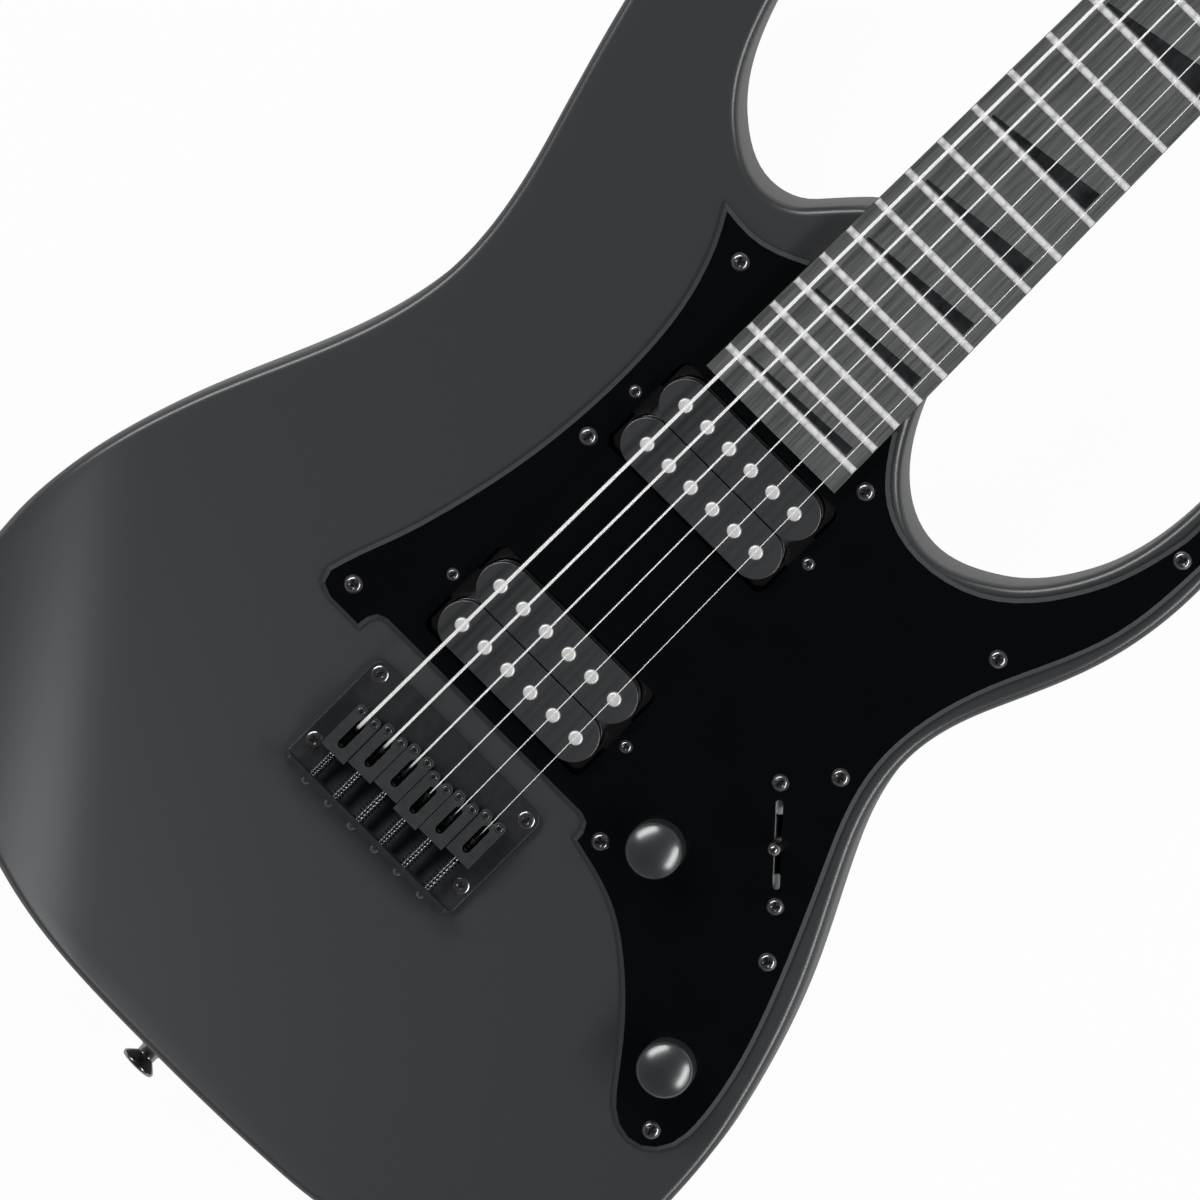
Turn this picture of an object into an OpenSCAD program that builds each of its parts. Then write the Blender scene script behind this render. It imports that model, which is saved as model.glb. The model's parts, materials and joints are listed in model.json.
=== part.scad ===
// Electric guitar: solid body, bolted neck, two twin-coil pickups, fixed bridge, strings through the body.
// Frame: +X runs along the strings towards the headstock, +Y to the bass side, +Z out of the face.
// Origin: on the centre line at the back of the body, under the end of the string scale.

/* [Body] */
// Thickness of the body
body_t = 44; // [42:0.5:46]
// Radius of the rounded edges of the body
edge_r = 4; // [2:0.5:5]
// Depth of the neck pocket below the face
pocket_depth = 16; // [15:0.5:17]
// Depth of the pickup cavities below the face
pickup_cavity_depth = 20; // [18:0.5:22]
// Depth of the control cavity below the face
control_cavity_depth = 30; // [28:0.5:32]
// Radius of the roll-off under the forearm
arm_contour_r = 110; // [95:1:130]
// Radius of the hollow in the back for the player's body
belly_contour_r = 420; // [400:5:450]
// Radius of the hollow behind the treble horn
horn_contour_r = 150; // [140:2:160]

/* [Neck] */
// Scale length from the nut to the theoretical end of the strings
scale_length = 648; // [640:1:656]
// Width of the neck at the nut
nut_width = 43; // [42:0.5:46]
// Width of the neck at its body end
heel_width = 58; // [57:0.5:59]
// Thickness of neck and fretboard together at the first fret
neck_t_first = 19.5; // [18.5:0.25:21]
// Thickness of neck and fretboard together at the twelfth fret
neck_t_twelfth = 21.5; // [20:0.25:22.5]
// Thickness of the fretboard
board_t = 6; // [5:0.25:7]
// Height of the fretboard's crown above the face of the body
board_rise = 8; // [7:0.25:9]
// Radius of the fretboard's crown
board_radius = 400; // [300:5:500]
// Fretboard beyond the last fret
board_overhang = 9.5; // [7:0.5:11]
// Length of the block that fills the pocket
heel_length = 62; // [56:1:66]

/* [Frets and nut] */
// Width of a fret's crown
fret_w = 2.6; // [2:0.1:3]
// Height of a fret's crown
fret_h = 1.2; // [0.9:0.05:1.4]
// Thickness of a fret's tang
tang_w = 0.6; // [0.4:0.05:0.8]
// Depth of a fret's tang
tang_h = 1.8; // [1.2:0.1:2.4]
// Depth of the position markers
marker_depth = 1.6; // [1.2:0.1:2]
// Thickness of the nut along the strings
nut_t = 5; // [4:0.25:6]
// Height of the nut above the fretboard's crown
nut_rise = 2.4; // [2.1:0.1:3]

/* [Headstock and tuners] */
// Tilt of the headstock
head_tilt = 11; // [9:0.5:13]
// Thickness of the headstock
head_t = 14; // [13:0.25:15]
// Distance of the first post from the headstock's root
first_post = 34; // [32:0.5:36]
// Distance between posts along the neck
post_pitch = 24; // [23.5:0.25:25]
// Radius of a tuner post
post_r = 3; // [2.8:0.05:3.2]
// Radius of a post's waist, where the string is wound
waist_r = 2.5; // [2.2:0.05:2.6]
// Height of a post above the headstock
post_h = 12; // [11:0.5:14]
// Radius of a tuner bushing
bushing_r = 5; // [4.6:0.1:5.4]
// Radius of a worm wheel
wheel_r = 4.2; // [3.8:0.1:4.3]
// Distance between the worm and the wheel axes
worm_offset = 6.4; // [6.4:0.1:6.8]
// Radius of a worm shaft
worm_r = 2; // [1.8:0.05:2.1]
// Radius of a tuner button, across its long side
button_r = 9; // [8:0.25:10]
// Width of a tuner button, across its short side
button_w = 15; // [12:0.5:16]
// Thickness of a tuner button
button_t = 6.6; // [5.5:0.2:8]

/* [Bridge] */
// Distance between strings at the bridge
bridge_spacing = 10.4; // [10.4:0.05:10.8]
// Distance between strings at the nut
nut_spacing = 7.1; // [6.8:0.05:7.3]
// Width of the bridge plate across the strings
plate_w = 74.4; // [73:0.2:76]
// Thickness of the bridge plate
plate_t = 2.5; // [2:0.1:3]
// Thickness of the lip behind the saddles
lip_t = 2.2; // [1.8:0.1:2.6]
// Height of the lip above the plate
lip_h = 8; // [7.6:0.2:9]
// Width of a saddle
saddle_w = 10.1; // [9.6:0.05:10.1]
// Height of a saddle
saddle_h = 7.4; // [7:0.1:8]
// Gap between the middle saddles and the plate
saddle_lift = 1.4; // [1.2:0.1:1.8]
// Radius of the saddle height screws
height_screw_r = 1.4; // [1.2:0.05:1.5]
// Radius of the intonation screws
intonation_r = 1.1; // [0.9:0.05:1.2]
// Radius of an intonation spring to the middle of its wire
spring_r = 1.68; // [1.65:0.01:1.75]
// Radius of the spring wire
spring_wire_r = 0.25; // [0.2:0.01:0.26]

/* [Pickups] */
// Distance between the two rows of poles
pole_row = 17.6; // [17.4:0.1:18.4]
// Distance between poles of the neck pickup
neck_pole_pitch = 9.85; // [9.5:0.05:10.2]
// Distance between poles of the bridge pickup
bridge_pole_pitch = 10.3; // [9.9:0.05:10.4]
// Radius of a pole piece
pole_r = 2.4; // [2:0.05:2.5]
// Width of a bobbin
bobbin_w = 17.2; // [16.6:0.1:17.3]
// Length of a bobbin
bobbin_l = 66.6; // [65:0.2:68]
// Height of a bobbin
bobbin_h = 11; // [10:0.25:12]
// Depth of the bobbin tops below the fretboard's crown
pickup_drop = 0.3; // [0:0.1:1.5]

/* [Pickguard and controls] */
// Thickness of the pickguard
guard_t = 2.3; // [2:0.1:2.8]
// Width of the bevel round the pickguard
guard_bevel = 1.4; // [1:0.1:1.6]
// Radius of the heads of the pickguard screws
guard_head_r = 3.1; // [2.6:0.1:3.3]
// Outer diameter of a knob
knob_d = 18.6; // [17.6:0.2:19.6]
// Height of a knob
knob_h = 17; // [15:0.5:19]
// Radius of a potentiometer's shaft
shaft_r = 3; // [2.8:0.05:3.1]
// Length of the selector's slot
selector_slot = 29; // [28:0.5:31]
// Width of the selector's slot
selector_slot_w = 2.4; // [2.2:0.1:2.8]
// Thickness of the selector's lever
lever_t = 1.5; // [1.2:0.1:1.6]
// Radius of the tip on the selector's lever
lever_tip_r = 2.2; // [1.8:0.1:2.6]
// Radius of the bore of the output jack
jack_bore_r = 3.2; // [3.18:0.01:3.25]

/* [Clearances] */
// Running clearance of shafts and posts in their bores
run_gap = 0.06; // [0.03:0.01:0.09]
// Clearance of screws in their holes
screw_gap = 0.05; // [0.02:0.01:0.1]
// Clearance of the neck in its pocket
pocket_gap = 0.15; // [0.05:0.05:0.3]

/* [Hidden] */
$fn = 64;
fret_count = 24;
string_count = 6;
spring_turns = 10;
winding_turns = 2.5;
// Outside diameters of the strings, bass to treble
string_d = [1.24, 0.97, 0.71, 0.46, 0.36, 0.28];
// Height screws of each saddle, measured from the end of the scale
saddle_set = [-5.0, -3.2, -1.7, -3.5, -2.2, -0.5];

// Levels
guard_top = body_t + guard_t;
board_top = body_t + board_rise;
board_low = board_top - board_t;
pocket_floor = body_t - pocket_depth;
plate_top = body_t + plate_t;
pickup_top = board_top - pickup_drop;
bobbin_low = pickup_top - bobbin_h;
magnet_t = 3.2;
base_t = 1;
base_top = bobbin_low - magnet_t;
control_floor = body_t - control_cavity_depth;
pickup_floor = body_t - pickup_cavity_depth;

// Neck geometry
function fret_x(n) = scale_length * pow(2, -n / 12);
board_end = fret_x(fret_count) - board_overhang;
function half_w(x) = (nut_width + (heel_width - nut_width) * (scale_length - x) / (scale_length - board_end)) / 2;
function crown(y) = board_radius - sqrt(board_radius * board_radius - y * y);
head_x = scale_length + nut_t + 1;
head_z = board_low - 0.4;
function mix(a, b, t) = a + (b - a) * t;
function ease(a, b, x) = let (t = min(1, max(0, (x - a) / (b - a)))) t * t * (3 - 2 * t);

// Headstock frame to the part's frame
function head_point(p) = [
    head_x + p[0] * cos(head_tilt) + p[2] * sin(head_tilt),
    p[1],
    head_z - p[0] * sin(head_tilt) + p[2] * cos(head_tilt)
];

// String positions
function side(i) = (string_count - 1) / 2 - i;
function bridge_y(i) = side(i) * bridge_spacing;
function nut_y(i) = side(i) * nut_spacing;
saddle_low = plate_top + saddle_lift;
function saddle_z(i) = saddle_low - crown(bridge_y(i));
function saddle_back(i) = saddle_set[i] - 16.3;
function break_x(i) = saddle_set[i] - 1.9;
function bridge_z(i) = saddle_z(i) + saddle_h + string_d[i] / 2 + 0.03;
function nut_z(i) = board_top - crown(nut_y(i)) + fret_h + 0.5 + string_d[i] / 2;
function screw_z(i) = saddle_z(i) + 3.4;
hole_x = -11;
lip_back = -33.2;
lip_front = lip_back + lip_t;
plate_front = 11.2;

// Tuners stand in a row that keeps every string straight behind the nut
function post_s(i) = first_post + post_pitch * i;
function post_y(i) = nut_y(i) + 3.1;
row_angle = atan2(-nut_spacing, post_pitch);
bushing_top = 2.4;
wind_top = 7.4;
// Distance from a post to the screw in its tuner's ear
ear_reach = 11.1;

// Pickups
neck_pickup_x = board_end - 22.6;
bridge_pickup_x = 46.4;
pickup_x = [neck_pickup_x, bridge_pickup_x];
pole_pitch = [neck_pole_pitch, bridge_pole_pitch];
ear_y = 39.2;
height_head_r = 2.2;

// Controls
volume_at = [30.6, -69.1];
tone_at = [-17.1, -121.3];
knob_at = [volume_at, tone_at];
selector_at = [58.7, -96];
selector_angle = 42.4;
selector_screw = 20;
selector_pivot = body_t - 20;
guard_screw_at = [
    [21.4, 59.7], [108.9, 39.8], [183.4, 44.8], [159.4, -35.8], [151.4, -103.9],
    [215.9, -123.3], [88.4, -95], [29.4, -120.3], [-35.6, -132.1], [18.9, -55]
];
bridge_screw_at = [[-23.2, 33.2], [6.8, 33.2], [-23.2, -33.2], [6.8, -33.2]];
neck_screw_at = [[board_end + 10, 18], [board_end + 50, 18], [board_end + 10, -18], [board_end + 50, -18]];

// Body outline, clockwise from the butt: position and heading at each knot
body_knots = [
    [-132.5, -8, 90], [-130.5, 50, 84], [-50, 152.4, 4], [-36, 153, -1], [24.9, 139.8, -20],
    [64.9, 122.9, -23], [121, 108.9, 0], [168.9, 117.1, 16.2], [208.9, 128.4, 14.5], [270, 140, 6],
    [303, 133.5, -75], [290, 115.5, -145], [248.9, 97.5, -163], [213.9, 78, -132], [204.1, 56.5, -90],
    [210.9, 41.8, -42], [223.9, 29.8, -45], [229.5, 18, -80], [222, -14, -118], [205, -25.6, -168],
    [190.9, -28.4, -158], [173.9, -37.8, -143], [158.9, -63.5, -90], [166.9, -87.5, -56],
    [188.9, -105.9, -28.6], [228.9, -115.3, -2], [249, -115.8, -4], [261, -121.8, -85],
    [251, -129.2, -166], [212, -133.9, 180], [168.9, -126.8, 161], [138.9, -114.2, 156], [107, -106, 180],
    [74.9, -113.6, 204.2], [34.9, -133, 203.7], [-15.1, -148.9, 192.7], [-50, -152.7, 182],
    [-130.9, -59.7, 93.4]
];

// Pickguard outline at its upper edge, clockwise; a second heading makes a corner
guard_knots = [
    [13.4, 49.6, 178, 90], [13.4, 62, 90], [19.5, 67.9, -14], [49.4, 57.7, -16.4], [99.4, 47, -6.7],
    [134.4, 45.1, 0.8], [164.4, 48.2, 12.8], [192, 59.3, 32, -97], [191.3, 49, -89],
    [197.9, 28.8, -63.4, -108.2], [178.8, -28.8, -108.2, -147], [164.4, -39.8, -133], [155.7, -63, -90],
    [164.4, -90.5, -54.2], [187.4, -109.4, -29.6], [221.4, -120.3, -10], [239, -124.6, -95],
    [221, -128.4, 178], [179.4, -123.3, 162], [149.4, -110.6, 155.8], [105, -99.7, 180],
    [69.4, -108.9, 204.2], [29.4, -126.3, 201.8], [-10.6, -139, 190.5], [-28.6, -140.7, 177],
    [-42.5, -128.5, 90], [-34.6, -115.4, 37.4], [-12.6, -97.5, 44.8], [6.4, -73.6, 61.9],
    [13.9, -49.4, 76.5, 2], [17.2, -49.1, 8], [21.4, -44, 90], [21.4, 44, 90], [17.2, 49.1, 172]
];

// Headstock outline in its own frame, clockwise
head_knots = [
    [-3, 21.4, 3], [16, 26.6, 26], [34, 32, -6], [62, 24.3, -16.5], [156, -3.5, -16.5],
    [181, -14.5, -38], [188, -28, -96], [176, -36.5, 170], [90, -26, 175], [-3, -21.4, 177]
];

// Smooth curves through knots: each piece is close to a circular arc
function heading(a) = [cos(a), sin(a)];
function point_of(k) = [k[0], k[1]];
function leaving(k) = len(k) > 3 ? k[3] : k[2];
function turn(a, b) = let (d = (b - a) % 360) d > 180 ? d - 360 : d < -180 ? d + 360 : d;
function handle(a, b) = norm(point_of(b) - point_of(a)) / (3 * pow(cos(turn(leaving(a), b[2]) / 4), 2));
function bezier(p, q, r, s, t) =
    pow(1 - t, 3) * p + 3 * t * pow(1 - t, 2) * q + 3 * t * t * (1 - t) * r + pow(t, 3) * s;
function on_piece(a, b, t) = let (h = handle(a, b)) bezier(
    point_of(a), point_of(a) + h * heading(leaving(a)), point_of(b) - h * heading(b[2]), point_of(b), t);
function straight(a, b) = let (c = point_of(b) - point_of(a))
    abs(turn(leaving(a), b[2])) < 1 && abs(turn(leaving(a), atan2(c[1], c[0]))) < 1;
function piece(a, b, step) = let (n = straight(a, b) ? 1 : max(2, ceil(norm(point_of(b) - point_of(a)) / step)))
    [for (i = [0:n - 1]) on_piece(a, b, i / n)];
function outline(knots, step) =
    [for (i = [0:len(knots) - 1]) each piece(knots[i], knots[(i + 1) % len(knots)], step)];

// An outline moved outwards by d, corners kept sharp
function left_of(v) = [-v[1], v[0]] / norm(v);
function moved(p, d) = let (n = len(p)) [for (i = [0:n - 1])
    let (u = left_of(p[i] - p[(i + n - 1) % n]), v = left_of(p[(i + 1) % n] - p[i]))
        p[i] + d * (u + v) / (1 + u * v)];
function raised(p, z) = [for (q = p) [q[0], q[1], z]];

body_points = outline(body_knots, 7);
guard_points = outline(guard_knots, 6);

// Output jack: a point on the lower bout and the direction out of the body there
jack_turn = 0.33;
jack_from = body_knots[len(body_knots) - 2];
jack_to = body_knots[len(body_knots) - 1];
jack_at = on_piece(jack_from, jack_to, jack_turn);
jack_way = on_piece(jack_from, jack_to, jack_turn + 0.01) - on_piece(jack_from, jack_to, jack_turn - 0.01);
jack_angle = atan2(jack_way[0], -jack_way[1]);
jack_seat = 2.4;
jack_plate_t = 2;
horn_tip = body_knots[10];
strap_r = 6.2;

// A solid through a stack of rings that turn clockwise seen from the last ring.
// With fan set, each flat end is a fan of triangles about its middle point.
function middle(p) = ([for (q = p) 1] * p) / len(p);
function cap(p, hub) = hub < 0 ? [p] : [for (i = [0:len(p) - 1]) [p[i], p[(i + 1) % len(p)], hub]];
function loft_faces(n, m, fan) = concat(
    cap([for (i = [n - 1:-1:0]) i], fan ? m * n : -1),
    [for (j = [0:m - 2], i = [0:n - 1]) [j * n + i, j * n + (i + 1) % n, (j + 1) * n + (i + 1) % n]],
    [for (j = [0:m - 2], i = [0:n - 1]) [j * n + i, (j + 1) * n + (i + 1) % n, (j + 1) * n + i]],
    cap([for (i = [0:n - 1]) (m - 1) * n + i], fan ? m * n + 1 : -1)
);

module loft(rings, fan = false) {
    polyhedron(
        concat([for (r = rings) each r], fan ? [middle(rings[0]), middle(rings[len(rings) - 1])] : []),
        loft_faces(len(rings[0]), len(rings), fan)
    );
}

// A closed ring that follows an outline, for cutting its edge. The section's points are
// [distance outwards, level], anticlockwise with the outside to the right.
module collar(p, section) {
    n = len(p);
    m = len(section);
    polyhedron(
        [for (q = section) each raised(moved(p, q[0]), q[1])],
        [for (j = [0:m - 1], i = [0:n - 1], k = [0, 1]) k == 0
            ? [j * n + i, j * n + (i + 1) % n, (j + 1) % m * n + (i + 1) % n]
            : [j * n + i, (j + 1) % m * n + (i + 1) % n, (j + 1) % m * n + i]]
    );
}

// Section that rounds an upper edge at level z: it crosses the face and the wall at a clear angle
function round_section(r, z) = let (e = 0.8, k = tan(22.5), c = r * (1 - sqrt(0.5))) [
    [2.5, z + 2.5], [-r - e, z + e * k], [-c, z - c], [e * k, z - r - e]
];

// Tubes: the ring frame is carried along the path without twisting
function unit(v) = v / norm(v);
function ways(p) = [for (i = [0:len(p) - 1]) unit(p[min(i + 1, len(p) - 1)] - p[max(i - 1, 0)])];
function carried(w, u, i = 0, out = []) =
    i == len(w) ? out : let (v = unit(u - w[i] * (u * w[i]))) carried(w, v, i + 1, concat(out, [v]));
function tube_rings(p, r, sides, start) = let (w = ways(p), u = carried(w, start)) [for (i = [0:len(p) - 1])
    [for (k = [0:sides - 1]) p[i] + r * (cos(360 * k / sides) * u[i] - sin(360 * k / sides) * cross(w[i], u[i]))]];

module tube(p, r, sides, start) {
    loft(tube_rings(p, r, sides, start));
}

// Least gap between turns of a wound tube, measured on its middle line
function wound_gap(p, r, skip) =
    min([for (i = [0:len(p) - 1 - skip], j = [i + skip:len(p) - 1]) norm(p[i] - p[j])]) - 2 * r;

module slot_shape(a, b, r) {
    way = b - a;
    translate(a)
        circle(r);
    translate(b)
        circle(r);
    translate(a)
        rotate(atan2(way[1], way[0]))
            translate([0, -r])
                square([norm(way), 2 * r]);
}

module rounded_shape(w, l, r) {
    square([w, l - 2 * r], center = true);
    square([w - 2 * r, l], center = true);
    for (x = [-1, 1], y = [-1, 1])
        translate([x * (w / 2 - r), y * (l / 2 - r)])
            circle(r);
}

// A stadium with its long side along Y
module stadium_shape(w, l) {
    slot_shape([0, w / 2 - l / 2], [0, l / 2 - w / 2], w / 2);
}

module rod_between(p, q, r) {
    way = q - p;
    translate(p)
        rotate([0, acos(way[2] / norm(way)), atan2(way[1], way[0])])
            cylinder(r = r, h = norm(way));
}

// A domed screw: its seat is at zero and its shank runs down
module screw(head_r, head_h, shank_r, length) {
    ball = (head_r * head_r + head_h * head_h) / (2 * head_h);
    rotate_extrude() {
        intersection() {
            translate([0, head_h - ball])
                circle(ball);
            square([head_r, head_h]);
        }
        polygon([[0, 0.1], [shank_r, 0.1], [shank_r, 2 - length], [0, -length]]);
    }
}

module at_head() {
    translate([head_x, 0, head_z])
        rotate([0, head_tilt, 0])
            children();
}

// Tuner frame: +X along the row, +Y out to the button, +Z out of the headstock's face
module at_tuner(i) {
    at_head()
        translate([post_s(i), post_y(i), 0])
            rotate(row_angle)
                children();
}

// Jack frame: +Z out of the edge of the body
module at_jack() {
    translate([jack_at[0], jack_at[1], body_t / 2])
        rotate([0, 90, jack_angle])
            children();
}

module at_selector() {
    translate([selector_at[0], selector_at[1], 0])
        rotate(selector_angle)
            children();
}

module at_strap_buttons() {
    translate([body_knots[0][0], 0, body_t / 2])
        rotate([0, -90, 0])
            children();
    translate([horn_tip[0], horn_tip[1], body_t / 2])
        rotate([0, 90, horn_tip[2] + 90])
            translate([0, 0, -strap_seat])
                children();
}
strap_seat = 1.4;

// Neck shape seen from the face, wider by g
module neck_shape(g, last) {
    polygon([
        [board_end - g, half_w(board_end) + g], [last, half_w(last) + g],
        [last, -half_w(last) - g], [board_end - g, -half_w(board_end) - g]
    ]);
}

// A block whose underside is a large cylinder: it rolls an edge off
module roll_cutter(at, way, r, bite) {
    translate(at)
        rotate(way)
            difference() {
                translate([-250, -bite, -60])
                    cube([500, 150, 90]);
                translate([-260, 0, -r])
                    rotate([0, 90, 0])
                        cylinder(r = r, h = 520);
            }
}

module control_cavity_shape() {
    slot_shape(volume_at, tone_at, 9.6);
    slot_shape(volume_at, selector_at, 9);
    translate(selector_at)
        rotate(selector_angle)
            slot_shape([-17, 0], [17, 0], 8);
    translate(volume_at)
        circle(11);
    translate(tone_at)
        circle(11.5);
}

module body() {
    jack_room = jack_at - 30 * heading(jack_angle);
    color([0.06, 0.06, 0.065])
        difference() {
            difference() {
                linear_extrude(body_t)
                    polygon(body_points);
                collar(body_points, round_section(edge_r, body_t));
                translate([0, 0, body_t])
                    mirror([0, 0, 1])
                        collar(body_points, round_section(edge_r, body_t));
            }
            union() {
                roll_cutter([-130, 30, body_t + 0.6], 38.1, arm_contour_r, 0);
                translate([20, 215, 22 - belly_contour_r])
                    sphere(belly_contour_r, $fn = 200);
                translate([205, -84, 10.8 - horn_contour_r])
                    sphere(horn_contour_r, $fn = 150);
                translate([0, 0, pocket_floor])
                    linear_extrude(body_t)
                        neck_shape(pocket_gap, 260);
                for (x = pickup_x)
                    translate([x, 0, pickup_floor])
                        linear_extrude(body_t) {
                            rounded_shape(41, 72, 5);
                            rounded_shape(17, 90, 5);
                        }
                translate([0, 0, pickup_floor])
                    linear_extrude(body_t) {
                        slot_shape([bridge_pickup_x, -22], [neck_pickup_x, -22], 5);
                        slot_shape([bridge_pickup_x, -22], volume_at + [12, 0], 5);
                    }
                translate([0, 0, control_floor])
                    linear_extrude(body_t)
                        control_cavity_shape();
                at_jack() {
                    translate([0, 0, -jack_seat])
                        cylinder(r = 16, h = 20);
                    translate([0, 0, -42])
                        cylinder(r = 11, h = 60);
                    for (y = [-13, 13])
                        translate([0, y, -jack_seat - 12])
                            cylinder(r = 1.3 + screw_gap, h = 20);
                }
                rod_between([tone_at[0], tone_at[1], 22], [jack_room[0], jack_room[1], 22], 4);
                for (p = guard_screw_at)
                    translate([p[0], p[1], body_t - 12])
                        cylinder(r = 1.4 + screw_gap, h = 20);
                for (p = bridge_screw_at)
                    translate([p[0], p[1], body_t - 22])
                        cylinder(r = 1.7 + screw_gap, h = 40);
                for (p = neck_screw_at)
                    translate([p[0], p[1], -1])
                        cylinder(r = 2.1 + 2 * screw_gap, h = body_t);
                for (i = [0:string_count - 1])
                    translate([hole_x, bridge_y(i), -1]) {
                        cylinder(r = 1.6, h = body_t + 2);
                        cylinder(r = 4 + screw_gap, h = 11);
                    }
                at_strap_buttons() {
                    translate([0, 0, 0.02])
                        cylinder(r = 7, h = 20);
                    translate([0, 0, -24])
                        cylinder(r = 1.9 + screw_gap, h = 30);
                }
            }
        }
}

// Neck: a loft whose rings go from a square heel to a rounded shaft, fused to the headstock
function shaft_back(x) = board_top
    - mix(neck_t_twelfth, neck_t_first, (fret_x(12) - x) / (fret_x(12) - fret_x(1)));
function head_face(x) = head_z - (x - head_x) * tan(head_tilt);
heel_last = board_end + heel_length;
function neck_back(x) = mix(
    mix(pocket_floor, shaft_back(x), ease(heel_last, heel_last + 34, x)),
    head_face(x) - head_t / cos(head_tilt) + 0.8,
    ease(scale_length - 34, head_x + 12, x));
function neck_face(x) = x > head_x ? head_face(x) - 0.8 : board_low;
function clip(v) = min(1, max(-1, v));
function bulge(v) = sign(v) * pow(abs(v), 0.82);
function neck_ring(x) = let (w = half_w(min(x, scale_length)) - (x > head_x ? 1 : 0), d = neck_face(x) - neck_back(x),
        t = ease(heel_last - 2, heel_last + 26, x)) [for (a = [0:10:180])
    [x, w * mix(clip(1.3 * cos(a)), bulge(cos(a)), t), neck_face(x) - d * mix(clip(1.3 * sin(a)), bulge(sin(a)), t)]];
neck_stations = concat(
    [board_end, heel_last - 2], [for (i = [0:8]) heel_last + 2 + 4 * i],
    [for (f = [14, 10, 7, 4, 2, 1]) fret_x(f)],
    [for (i = [0:6]) scale_length - 32 + 6 * i], [head_x, head_x + 8, head_x + 18]
);

module neck() {
    color([0.42, 0.27, 0.15])
        difference() {
            union() {
                loft([for (x = neck_stations) neck_ring(x)], true);
                at_head()
                    translate([0, 0, -head_t])
                        linear_extrude(head_t)
                            difference() {
                                polygon(outline(head_knots, 7));
                                translate([-60, -50])
                                    square([60, 100]);
                            }
            }
            translate([truss_from - 2, -3.3, truss_z - 3.4])
                cube([head_x + 8 - truss_from, 6.6, 20]);
            translate([head_x + 5, -5.2, truss_z - 5])
                cube([30, 10.4, 30]);
            for (p = neck_screw_at)
                translate([p[0], p[1], 0])
                    cylinder(r = 2.1 + screw_gap, h = pocket_floor + 15);
            for (i = [0:string_count - 1])
                at_tuner(i) {
                    translate([0, 0, -30])
                        cylinder(r = bushing_r + screw_gap, h = 60);
                    translate([0, -ear_reach, -head_t - 1])
                        cylinder(r = 1.1 + screw_gap, h = 9);
                }
            for (p = cover_screw_at)
                at_head()
                    translate([p[0], p[1], -8])
                        cylinder(r = 1.1 + screw_gap, h = 20);
        }
}
truss_from = board_end + 28;
truss_z = board_low - 8;
cover_screw_at = [[8, 7], [8, -7], [41.5, 0]];

module fretboard() {
    color([0.26, 0.25, 0.24])
        difference() {
            board_blank(board_low);
            for (n = [1:fret_count])
                translate([fret_x(n) - tang_w / 2 - 0.01, -50, board_top - tang_h - 1.2])
                    cube([tang_w + 0.02, 100, 10]);
            markers(0.01);
        }
}

// The crowned board above a level
module board_blank(low) {
    intersection() {
        translate([0, 0, low])
            linear_extrude(20)
                neck_shape(0, scale_length);
        translate([0, 0, board_top - board_radius])
            rotate([0, 90, 0])
                cylinder(r = board_radius, h = scale_length + 50, $fn = 1440);
    }
}

module frets() {
    color([0.8, 0.8, 0.8])
        for (n = [1:fret_count])
            intersection() {
                fret_a = asin((half_w(fret_x(n)) + 4) / board_radius);
                translate([fret_x(n), 0, board_top - board_radius])
                    rotate([0, -90, 0])
                        rotate(-fret_a)
                            rotate_extrude(angle = 2 * fret_a, $fn = 1440)
                                translate([board_radius, 0])
                                    fret_shape();
                translate([fret_x(n), 0, board_top])
                    rotate([90, 0, 90])
                        translate([0, 0, -5])
                            linear_extrude(10)
                                polygon([
                                    [-half_w(fret_x(n)) + 0.2, -8], [half_w(fret_x(n)) - 0.2, -8],
                                    [half_w(fret_x(n)) - 0.2, -1], [half_w(fret_x(n)) - 1.6, 3],
                                    [1.6 - half_w(fret_x(n)), 3], [0.2 - half_w(fret_x(n)), -1]
                                ]);
            }
}

// Fret section: height along X, width along Y
module fret_shape() {
    ball = (fret_w * fret_w / 4 + fret_h * fret_h) / (2 * fret_h);
    intersection() {
        translate([fret_h - ball, 0])
            circle(ball);
        translate([0.01, -fret_w / 2])
            square([fret_h, fret_w]);
    }
    translate([-tang_h, -tang_w / 2])
        square([tang_h + 0.1, tang_w]);
}

marker_frets = [3, 5, 7, 9, 12, 15, 17, 19, 21, 24];

// Plain tapered wedges in the face and dots in the bass edge
module markers(g) {
    for (n = marker_frets) {
        x = fret_x(n) + fret_w / 2 + 0.5;
        room = fret_x(n - 1) - fret_x(n) - fret_w - 1;
        w = half_w(x);
        intersection() {
            board_blank(board_top - marker_depth - 1.2 - g);
            translate([0, 0, board_low])
                linear_extrude(20)
                    polygon([
                        [x - g, w * 0.76 + g], [x + 0.9 + g, w * 0.76 + g],
                        [x + 0.55 * room + g, -w * 0.8 - g], [x - g, -w * 0.8 - g]
                    ]);
        }
        translate([x + room / 2, half_w(x + room / 2) - 1.4 - g, board_low + board_t / 2 - 0.6])
            rotate([-90, 0, 0])
                cylinder(r = 1 + g, h = 1.38 + 200 * g);
    }
}

module position_markers() {
    color([0.12, 0.12, 0.13])
        markers(0);
}

module nut() {
    color([0.1, 0.1, 0.1])
        difference() {
            translate([scale_length + 0.02, -nut_width / 2, board_low])
                cube([nut_t, nut_width, board_t + nut_rise]);
            for (i = [0:string_count - 1])
                translate([scale_length, nut_y(i) + string_d[i] / 2 + 0.06, nut_z(i) - string_d[i] / 2 - 0.04])
                    rotate([90, 0, 0])
                        linear_extrude(string_d[i] + 0.12)
                            polygon([[-1, 0], [1, -0.05], [nut_t + 1, -1.6], [nut_t + 1, 8], [-1, 8]]);
        }
}

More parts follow.
